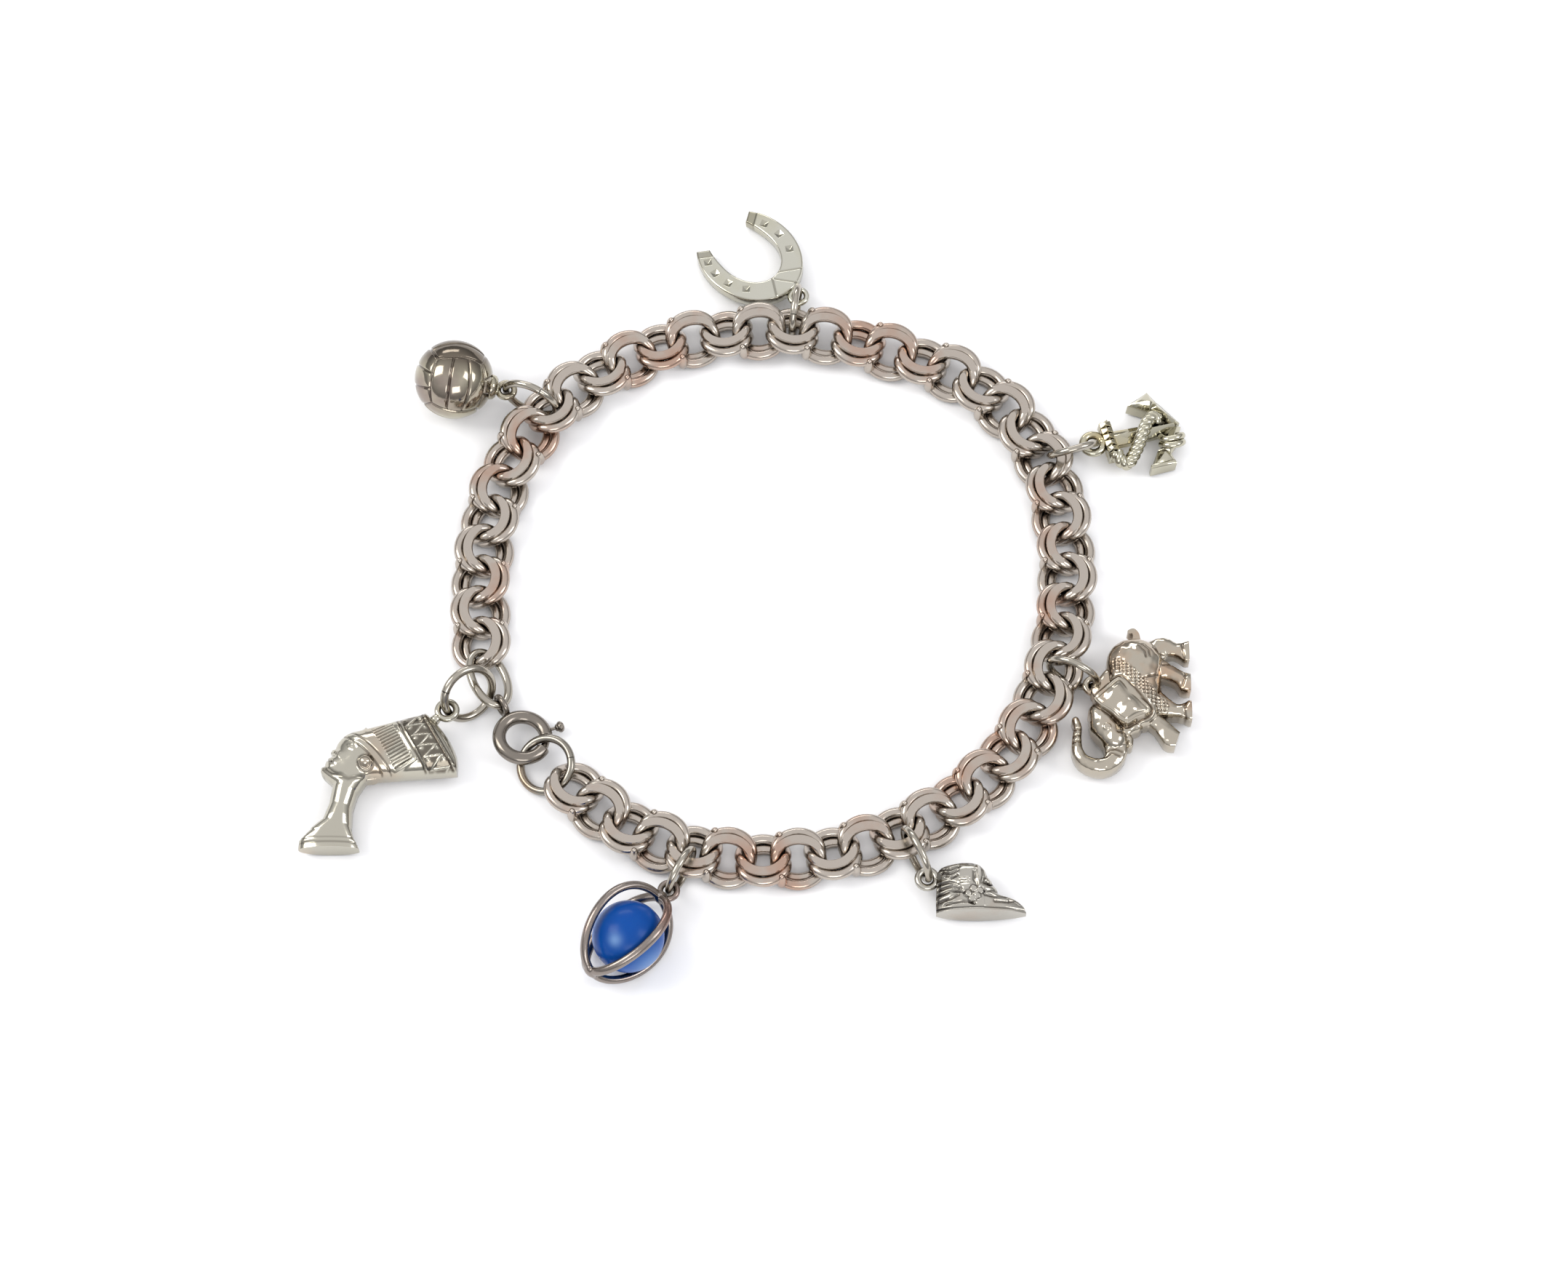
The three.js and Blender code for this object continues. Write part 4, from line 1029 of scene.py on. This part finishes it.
def bootee_shape(x, y):
    """The bootee from its side: its rounded leg and toe, its folds and its flat sole."""
    leg, _ = limb(x, y, (3.4, -0.6, 2.0), (3.3, -3.4, 2.3))
    shaft = patch(x, y, BOOTEE_OUTLINE)
    depth = np.minimum(shaft, y - SOLE_Y)
    width = BOOTEE_THICK * np.sqrt(np.clip(1 - ((x - 5.3) / 4.75) ** 2, 0.02, 1))
    toe = np.clip((x - 6) / 3.5, 0, 1)
    high = 0.5 + (width - 0.5) * pillow(shaft, 1.0, 1.5) * (1 - 0.15 * toe)
    high = high - 0.1 * pillow(-leg, 1, 0.6)
    crease = np.max([line_mark(x, y, path, 0.15) for path in CREASES], axis=0)
    crease *= 0.75 + 0.25 * np.sin(3.1 * x + 1.7) * np.sin(4.3 * y)
    welt = np.max([line_mark(x, y, path, 0.09) for path in WELTS], axis=0)
    knots = np.zeros(x.shape)
    moat = np.zeros(x.shape)
    for cx, cy, r in BOW:
        away = np.hypot(x - cx, y - cy)
        knots = np.maximum(knots, np.sqrt(np.clip(1 - (away / r) ** 2, 0, 1)))
        moat = np.maximum(moat, bell(away - r - 0.05, 0.1))
    seam = bell(y - SOLE_Y - 0.3, 0.07)
    flange = np.clip((SOLE_Y + 0.28 - y) / 0.08, 0, 1)
    front = high - 0.22 * crease + 0.14 * welt + 0.2 * knots - 0.08 * moat - 0.1 * seam
    front = np.minimum(front + 0.07 * flange, BOOTEE_THICK + 0.05)
    creased = np.exp(-np.clip(x - 1.2, 0, 9) / 1.1) * 0.45
    patina_and_shade_mask = np.clip(0.75 * crease + 0.6 * moat + 0.8 * seam + creased - 0.9 * welt - knots, 0, 1)
    patina_and_shade_mask = patina_and_shade_mask * np.clip((y - SOLE_Y) / 0.2, 0, 1)
    return depth, front, -high, patina_and_shade_mask


bootee = cast_relief("bootee_charm", ((0.5, -4.2), (10.2, 1.9)), bootee_shape, 0.07)
eye_bm = bmesh.new()
add_eye(eye_bm, 0.93, 0.36)
add_egg(eye_bm, (1.15, -0.1, 0), (0.5, 0.5, 0.45))
join_up(bootee, eye_bm)
# Cast silver with its tarnish left in: pale on the swells, nearly black in the folds.
bootee_silver = silver(
    "dark_toned_silver", clean="#b1ada4", warm="#ab9c8d", patina_and_shade_colour="#2b2623",
    roughness=0.2, hollows=0.7, dents=0.045, warm_from=0.55)
settle(bootee, bootee_silver, *BOOTEE_PLACE, "dark_silver", "bootee")


# ---------------------------------------------------------------- the horseshoe
# Pressed from silver sheet and polished pale, with a square pit punched for each nail, a
# clip engraved at its toe and a dull step at each heel.

SHOE_PLACE = ((5.097, 33.400, 1.913), (0, 5.4, 132))
SHOE_HALF = 0.65        # half its thickness
SHOE_OFFSET = 0.45      # how far its middle lies beside its eye
SHOE_OUTER = {"middle": 7.35, "toe": 6.4, "heel": 6.4, "wide": 5.15}
SHOE_INNER = {"middle": 7.55, "toe": 4.05, "heel": 6.2, "wide": 3.05}
SHOE_HEEL = (11.15, 3.0)
SHOE_HEEL_AIM = math.radians(35)
HEEL_STEP = 0.95
NAIL_HALF = 0.42
NAILS_FACE = 7.4        # how far along the shoe the place is that the nail pits face
NAILS = [(9.7, 4.3), (8.1, 4.65), (6.2, 4.5), (4.3, 3.6),
         (9.2, -3.35), (7.1, -3.65), (4.9, -3.15)]
TOE_CLIP = [[(1.3, 1.9), (3.35, 0.7), (1.1, -0.9)], [(2.2, -2.4), (3.5, -0.4)]]


def oval_depth(x, y, oval):
    """How deep each point lies inside an oval with a toe and a heel end."""
    reach = np.where(x < oval["middle"], oval["toe"], oval["heel"])
    q = np.hypot((x - oval["middle"]) / reach, (y - SHOE_OFFSET) / oval["wide"])
    q = np.maximum(q, 0.05)
    return (1 - q) / q * np.hypot(x - oval["middle"], y - SHOE_OFFSET)


def shoe_shape(x, y):
    """The shoe from its front, with its pits and lines, and a plain back."""
    beside = np.abs(y - SHOE_OFFSET) - SHOE_HEEL[1]
    heel = (SHOE_HEEL[0] - x) * math.cos(SHOE_HEEL_AIM) + beside * math.sin(SHOE_HEEL_AIM)
    depth = np.min([oval_depth(x, y, SHOE_OUTER), -oval_depth(x, y, SHOE_INNER), heel], axis=0)
    pits = np.zeros(x.shape)
    for cx, cy in NAILS:
        lean = math.atan2(cy - SHOE_OFFSET, cx - NAILS_FACE)
        a = (x - cx) * math.cos(lean) + (y - cy) * math.sin(lean)
        b = (y - cy) * math.cos(lean) - (x - cx) * math.sin(lean)
        pits = np.maximum(pits, 1 - np.maximum(np.abs(a), np.abs(b)) / NAIL_HALF)
    pits = np.clip(pits, 0, 1)
    clip = np.max([line_mark(x, y, path, 0.1) for path in TOE_CLIP], axis=0)
    cap = np.clip((HEEL_STEP - heel) / 0.08, 0, 1)
    step = bell(heel - HEEL_STEP, 0.09)
    edge = 0.16 * (1 - pillow(depth, 1, 0.28))
    front = SHOE_HALF - edge - 0.24 * pits - 0.08 * clip - 0.1 * cap - 0.05 * step
    rim_line = bell(depth - 0.1, 0.07)
    patina_and_shade_mask = np.clip(0.3 * rim_line + 0.3 * (pits > 0) + 0.55 * clip + 0.4 * cap + 0.5 * step, 0, 1)
    return depth, front, edge - SHOE_HALF, patina_and_shade_mask


horseshoe = cast_relief("horseshoe_charm", ((0.6, -5.1), (12.6, 6.0)), shoe_shape, 0.05)
eye_bm = bmesh.new()
add_eye(eye_bm, 0.88, 0.31)
join_up(horseshoe, eye_bm)
# Polished silver with hardly any tarnish: nearly white, with thin dark edges.
shoe_silver = silver(
    "pale_polished_silver", clean="#c2c0b4", warm="#bdb9a5", patina_and_shade_colour="#66604f",
    roughness=0.12, hollows=0.3, dents=0.012, warm_from=0.47)
settle(horseshoe, shoe_silver, *SHOE_PLACE, "pale_silver", "horseshoe")


# ---------------------------------------------------------------- the elephant
# Cast silver, the same on both sides: a walking elephant with its trunk curled up. Its
# ear and its rump are polished, and a beaded girdle runs round its body.

ELEPHANT_PLACE = ((35.204, -12.019, 1.913), (0, 0, 0))
ELEPHANT_RIM = 0.75
ELEPHANT_FRONT = 3.0
ELEPHANT_BACK = -1.66
ELEPHANT_SHORTENED = 0.94
FEET_CUT = 9.85
# Each part: its height above the rim, the width of its rounding, and its stations, each
# a place and a radius.
ELEPHANT_PARTS = {
    "body": (1.75, 2.7, (4.2, 2.3, 2.85), (4.1, -1.3, 2.6)),
    "shoulder": (1.5, 2.3, (4.2, -1.0, 2.6), (4.6, -3.2, 2.0)),
    "nape": (0.5, 1.1, (0.8, -0.9, 1.15), (1.8, 0.7, 1.0)),
    "head": (1.3, 1.6, (0.5, -3.6, 1.2), (0.9, -5.0, 1.5), (1.9, -6.7, 1.3)),
    "trunk": (0.6, 0.95, (1.9, -6.5, 1.3), (2.0, -8.1, 1.15), (1.5, -9.25, 0.95),
              (0.3, -9.75, 0.85), (-1.2, -9.2, 0.72), (-1.88, -8.0, 0.58),
              (-1.92, -6.5, 0.47), (-1.8, -5.2, 0.41), (-2.0, -4.4, 0.38)),
    "far_hind_leg": (0.5, 1.3, (6.1, 3.6, 1.3), (7.3, 4.2, 1.2), (8.5, 4.0, 0.75),
                     (9.6, 3.8, 1.25)),
    "near_hind_leg": (0.75, 1.4, (6.2, 1.8, 1.4), (7.6, 1.3, 0.9), (8.8, 0.6, 0.8),
                      (9.5, 0.1, 1.2)),
    "near_foreleg": (0.75, 1.4, (5.8, -2.2, 1.6), (7.6, -3.1, 0.95), (8.6, -3.3, 0.75),
                     (9.6, -3.3, 1.2)),
    "lifted_foreleg": (0.5, 1.2, (5.6, -4.0, 0.8), (6.8, -5.2, 0.85), (7.75, -6.5, 1.1)),
    "tail": (0.0, 0.35, (4.5, 5.0, 0.42), (4.5, 5.8, 0.33), (4.2, 6.25, 0.28),
             (3.85, 6.15, 0.24)),
    "jaw": (0.65, 0.9, (3.4, -5.2, 1.0), (4.0, -5.1, 0.75)),
    "tusk": (0.4, 0.35, (2.9, -6.2, 0.5), (3.5, -6.7, 0.33), (3.45, -7.35, 0.3)),
}
# Lines cut into it: folds of the rump and belly, toes, and folds of the trunk.
ELEPHANT_LINES = [
    [(5.0, 3.9), (5.6, 3.3), (5.7, 2.6)], [(4.6, 3.8), (5.2, 3.1), (5.3, 2.4)],
    [(6.1, 3.9), (6.6, 3.4), (7.2, 3.2)], [(5.0, -0.1), (5.8, 0.3), (6.4, 0.5)],
    [(9.2, 4.9), (9.15, 3.9), (9.3, 2.8)], [(9.3, 0.9), (9.15, 0.0), (9.0, -0.6)],
    [(9.2, -2.4), (9.1, -3.4), (9.2, -4.4)], [(6.7, -3.9), (7.6, -4.15), (8.5, -4.1)],
    [(7.0, 1.9), (8.2, 2.1), (9.0, 2.2)], [(2.2, -6.2), (2.9, -6.1), (3.1, -6.5)],
    [(0.9, -8.9), (1.5, -8.5), (2.3, -8.8)], [(1.1, -8.2), (1.9, -8.0), (2.6, -8.3)],
    [(-2.3, -7.1), (-1.5, -7.0)], [(-2.3, -6.4), (-1.5, -6.3)], [(-2.3, -5.7), (-1.4, -5.6)]]
EAR = [(2.45, 0.15), (3.6, -1.0), (4.6, -2.3), (5.6, -3.5), (5.3, -4.3), (4.2, -4.8), (3.1, -5.4),
       (2.2, -5.0), (1.4, -4.1), (0.3, -3.3), (-0.25, -2.3), (0.9, -1.1)]
GIRDLE = [(2.3, 1.75), (3.6, 0.6), (4.6, -0.7), (5.8, -1.9), (6.9, -3.0)]


def elephant_shape(x, y):
    """The elephant from its side: rounded parts melted together, and what is cut in them."""
    parts = []
    for high, width, *stations in ELEPHANT_PARTS.values():
        if len(stations) > 3:
            stations = [tuple(p) for p in smooth_line(stations, 3)]
        depth, _ = limb(x, y, *stations)
        parts.append((depth, high, width))
    ear = patch(x, y, EAR)
    outline = np.maximum(melt([depth for depth, _, _ in parts], 0.1), ear)
    outline = np.minimum(outline, FEET_CUT - x)
    # The lifted foot is cut off flat too, at a slant.
    outline = np.minimum(outline, (8.75 - x) + 0.33 * (y + 5.3) + 4.0 * (y > -4.9))
    height = melt([pillow(depth, high, width) + 0.25 * np.clip(depth, -2, 0)
                   for depth, high, width in parts], 0.05)
    flap = 2.05 + 0.45 * pillow(ear, 1, 0.7) - 0.13 * bell(ear - 0.42, 0.12)
    waves = 0.27 * np.sin(1.3 * x + y + 0.6) + 0.1 * np.sin(2.2 * x - 1.9 * y)
    flap += waves * np.clip(ear, 0, 1)
    moat = bell(ear + 0.12, 0.13)
    away, along = path_distance(GIRDLE, x, y)
    band = np.clip((0.72 - away) / 0.15, 0, 1) * (ear < -0.1)
    beads = np.sin(7.5 * (x - y) + 1.0) * np.sin(7.5 * (x + y)) * band
    cut = np.max([line_mark(x, y, path, 0.12) for path in ELEPHANT_LINES], axis=0)
    eyelid = bell(np.hypot(x - 1.1, y + 5.7) - 0.3, 0.09)
    ripple = 0.03 * np.sin(5.1 * x + 1.7 * y) * np.sin(3.7 * y - 2.2 * x)
    front = ELEPHANT_RIM + height - 0.1 * moat + 0.07 * beads - 0.1 * cut
    front += np.clip(ear / 0.12, 0, 1) * np.clip(flap - front, 0, 5)
    front = np.minimum(front + 0.09 * eyelid + ripple * (ear < 0), ELEPHANT_FRONT)
    patina_and_shade_mask = np.clip(0.9 * moat * (outline > 0.1) + 0.35 * band - 0.5 * beads + 0.7 * cut, 0, 0.9)
    return outline, front, np.maximum(-front, ELEPHANT_BACK), patina_and_shade_mask


elephant = cast_relief("elephant_charm", ((-3.0, -11.0), (10.2, 6.9)), elephant_shape, 0.07)
elephant.data.transform(Matrix.Diagonal((1, ELEPHANT_SHORTENED, 1, 1)))
eye_bm = bmesh.new()
add_eye(eye_bm, 0.82, 0.33)
join_up(elephant, eye_bm)
# Antiqued cast silver: pale where it stands proud, golden brown in patches, and dark in
# what is cut into it.
elephant_silver = silver(
    "gilded_by_wear_silver", clean="#b0a89a", warm="#b79a80", patina_and_shade_colour="#4c3a26",
    roughness=0.11, hollows=0.8, dents=0.03, warm_from=0.49)
settle(elephant, elephant_silver, *ELEPHANT_PLACE, "antiqued_silver", "elephant")


# ---------------------------------------------------------------- the queen's head
# Cast silver: the head of an unnamed queen in profile, her cap drawn back with a zigzag
# band and a lined panel, on a slim neck that widens to an oval foot. Her face is a plain
# one, in the proportions of any drawing book: brow, nose and chin a third of it apart.

HEAD_PLACE = ((-30.739, -15.108, 2.763), (0, 0, 0))
CAP_END = (0.3, -3.4)
CAP_AIM = math.radians(30)
FACE_TOP = (-8.4, -2.25)
FACE_AIM = math.radians(229)
THIRD = 2.05                # a third of the face's height
# What lies across the cap, measured from its end towards the face.
CAP_STEPS = (1.05, 3.5, 3.95)
ZIGZAG_BAND = (1.1, 3.45)
ZIGZAG = {"pitch": 1.3, "from": 1.45, "deep": 1.65}
LINED_PANEL = (4.25, 6.3)
PANEL_LINES = 0.36
BROW_BAND = 7.25
HEAD_EAR = (-7.95, -6.35)
HEAD_FRONT = 2.1
HEAD_BACK = -2.74
FOOT_Y = -14.8
FOOT_TOP = -11.5
FOOT = {"middle": -11.35, "half": 3.2, "thick": 1.3}
# The profile: how far down the face, in thirds, and how far out, in millimetres.
PROFILE = [(0.0, 0.0), (0.5, 0.22), (0.95, 0.22), (1.17, 0.03), (1.5, 0.38), (1.83, 0.82),
           (1.97, 0.72), (2.04, 0.33), (2.2, 0.42), (2.32, 0.45), (2.39, 0.28), (2.48, 0.4),
           (2.6, 0.3), (2.68, 0.16), (2.85, 0.34), (3.0, 0.14), (3.06, -0.5)]


def head_shape(x, y):
    """The head in profile: u runs from the cap's end, v across the cap, t down the face."""
    ahead = (math.cos(CAP_AIM), math.sin(CAP_AIM))
    u = (CAP_END[0] - x) * ahead[0] + (CAP_END[1] - y) * ahead[1]
    v = (y - CAP_END[1]) * ahead[0] - (x - CAP_END[0]) * ahead[1]
    down = (math.cos(FACE_AIM), math.sin(FACE_AIM))
    out = (down[1], -down[0])
    t = (x - FACE_TOP[0]) * down[0] + (y - FACE_TOP[1]) * down[1]
    w = (x - FACE_TOP[0]) * out[0] + (y - FACE_TOP[1]) * out[1]

    edge = np.interp(t / THIRD, [a for a, _ in PROFILE], [b for _, b in PROFILE])
    face = np.min([edge - w, t + 0.4, 3.07 * THIRD - t, w + 3.3], axis=0)
    jaw, _ = limb(x, y, (-8.0, -5.4, 2.4), (-9.6, -5.9, 2.0), (-10.8, -6.3, 1.1))
    cap, _ = limb(x, y, (-8.6, -5.0, 2.6), (-6.2, -4.6, 2.85), (-2.8, -4.0, 3.2), (3.5, -2.9, 3.85))
    cap = np.minimum(cap, 11.0 - np.hypot(u - 10.95, v))
    neck, _ = limb(x, y, (-9.0, -6.2, 1.75), (-10.0, -8.6, 1.3), (-10.4, -10.4, 1.2),
                   (-10.75, -12.2, 1.5), (-11.1, -13.4, 2.3), (-11.35, -14.6, 3.2))
    neck_cut = np.minimum(neck, y - FOOT_Y)
    outline = np.minimum(melt([face, cap, neck_cut, jaw], 0.06), y - FOOT_Y)

    foot = FOOT["thick"] * np.sqrt(np.clip(1 - ((x - FOOT["middle"]) / FOOT["half"]) ** 2, 0.01, 1))
    spread = np.clip((FOOT_TOP - y) / 3.3, 0, 1)
    neck_high = (1 - spread) * pillow(neck, 1.25, 1.3) + spread * foot
    high = melt([pillow(cap, 1.75, 2.6), pillow(face, 1.3, 1.5) + 0.2 * pillow(jaw, 1, 1.6),
                 np.where(neck > 0, neck_high, 0)], 0.07)
    rim = 0.5 * (1 - spread)
    middle = -0.45 - 0.85 * np.clip((-6.0 - y) / 8.5, 0, 1)

    cap_in = np.clip(cap / 0.3, 0, 1)
    ridges = np.max([bell(u - a, 0.11) for a in CAP_STEPS], axis=0) * cap_in
    ridges *= np.where(u > 3.7, v > -0.75, True)
    wave = np.abs(((v + 10.0) / ZIGZAG["pitch"]) % 1 - 0.5) * 2
    in_band = (u > ZIGZAG_BAND[0]) & (u < ZIGZAG_BAND[1])
    zig = bell(u - ZIGZAG["from"] - ZIGZAG["deep"] * wave, 0.2) * in_band
    spots = np.zeros(x.shape)
    for k in range(-4, 4):
        for shift, at in ((0.5, 1.55), (1.0, 2.95)):
            across = v - (k + shift) * ZIGZAG["pitch"]
            spots = np.maximum(spots, bell(np.hypot(across, u - at), 0.17))
    panel = (u > LINED_PANEL[0]) & (u < LINED_PANEL[1]) & (v > -0.4) & (cap > 0.5)
    combed = 0.5 + 0.5 * np.cos(2 * math.pi * v / PANEL_LINES)
    frame_line = bell(v + 0.7, 0.11) * ((u > 3.95) & (u < 6.6))
    off_brow = np.abs(u - BROW_BAND - 0.05 * v * v)
    brow_band = np.clip((0.36 - off_brow) / 0.1, 0, 1) * (v > -2.2) * cap_in
    brow_edge = bell(off_brow - 0.42, 0.08) * (v > -2.2)
    ear_away = np.hypot(x - HEAD_EAR[0], y - HEAD_EAR[1])
    ear = np.clip((0.72 - ear_away) / 0.1, 0, 1)
    ear += 0.9 * np.sqrt(np.clip(1 - (ear_away / 0.3) ** 2, 0, 1))
    ear_moat = bell(ear_away - 0.5, 0.09) + bell(ear_away - 0.8, 0.08)
    end_rim = bell(u - 0.55, 0.4)

    def on_face(path):
        return [(FACE_TOP[0] + a * THIRD * down[0] + b * out[0],
                 FACE_TOP[1] + a * THIRD * down[1] + b * out[1]) for a, b in path]

    def face_mark(path, width):
        return line_mark(x, y, on_face(path), width)

    brow = face_mark([(0.98, -0.05), (0.9, -0.7), (1.0, -1.4)], 0.13)
    lids = np.maximum(face_mark([(1.25, -0.4), (1.13, -0.8), (1.25, -1.3)], 0.07),
                      face_mark([(1.25, -0.4), (1.34, -0.8), (1.25, -1.3)], 0.07))
    iris = face_mark([(1.23, -0.78), (1.24, -0.8)], 0.13)
    mouth = face_mark([(2.39, 0.35), (2.4, -0.1), (2.36, -0.42)], 0.08)
    lips = sum(face_mark(path, 0.12) for path in (
        [(2.3, 0.3), (2.33, -0.15)], [(2.47, 0.25), (2.46, -0.1)]))
    nostril = face_mark([(1.93, 0.12), (1.84, -0.02), (1.93, -0.14)], 0.08)
    cheek = face_mark([(1.8, -1.6), (1.9, -1.7)], 0.8)
    under_jaw = line_mark(x, y, [(-8.3, -7.6), (-9.6, -7.9), (-11.2, -7.35), (-12.2, -6.7)], 0.2)

    front = middle + rim + high + 0.12 * ridges + 0.1 * zig + 0.1 * spots * in_band
    front += 0.1 * frame_line - 0.13 * combed * panel + 0.1 * brow_band - 0.07 * brow_edge
    front += 0.14 * ear - 0.08 * ear_moat + 0.1 * end_rim * cap_in - 0.08 * in_band
    front += 0.1 * brow + 0.06 * lids + 0.07 * iris - 0.1 * mouth + 0.08 * lips - 0.07 * nostril
    front += 0.12 * cheek - 0.12 * under_jaw
    foot_lines = bell(y - FOOT_Y - 0.5, 0.09) + 0.7 * bell(y - FOOT_Y - 0.95, 0.07)
    front -= 0.06 * foot_lines
    front = np.minimum(front, HEAD_FRONT)
    back = middle - rim - np.where(y < FOOT_TOP, 1.0, 0.8) * high
    back = np.maximum(back, HEAD_BACK)
    patina_and_shade_mask = 0.7 * combed * panel + 0.75 * brow_edge + 0.7 * ear_moat + 0.75 * mouth + 0.6 * nostril
    patina_and_shade_mask += in_band * (0.75 - zig - spots) + 0.5 * under_jaw + 0.5 * foot_lines
    patina_and_shade_mask += bell(np.abs(u - 1.05) - 0.17, 0.07) + bell(u - 3.7, 0.1)
    patina_and_shade_mask = np.clip(patina_and_shade_mask, 0, 0.9) * np.clip(outline / 0.1, 0, 1)
    return outline, front, back, patina_and_shade_mask


head = cast_relief("queen_head_charm", ((-15.2, -15.3), (1.2, 1.0)), head_shape, 0.075)
eye_bm = bmesh.new()
add_eye(eye_bm, 0.95, 0.34)
add_bar(eye_bm, [(-0.7, -0.5, -0.1), (-1.5, -1.3, -0.2)], [0.42, 0.6])
join_up(head, eye_bm)
# Crisp cast silver, bright on the brow, the cheek and the cap's ridges, brown between.
head_silver = silver(
    "bright_cast_silver", clean="#b4b0a3", warm="#b5a593", patina_and_shade_colour="#3f352b",
    roughness=0.14, hollows=0.8, dents=0.02, warm_from=0.53)
settle(head, head_silver, *HEAD_PLACE, "antiqued_silver", "queen_head")
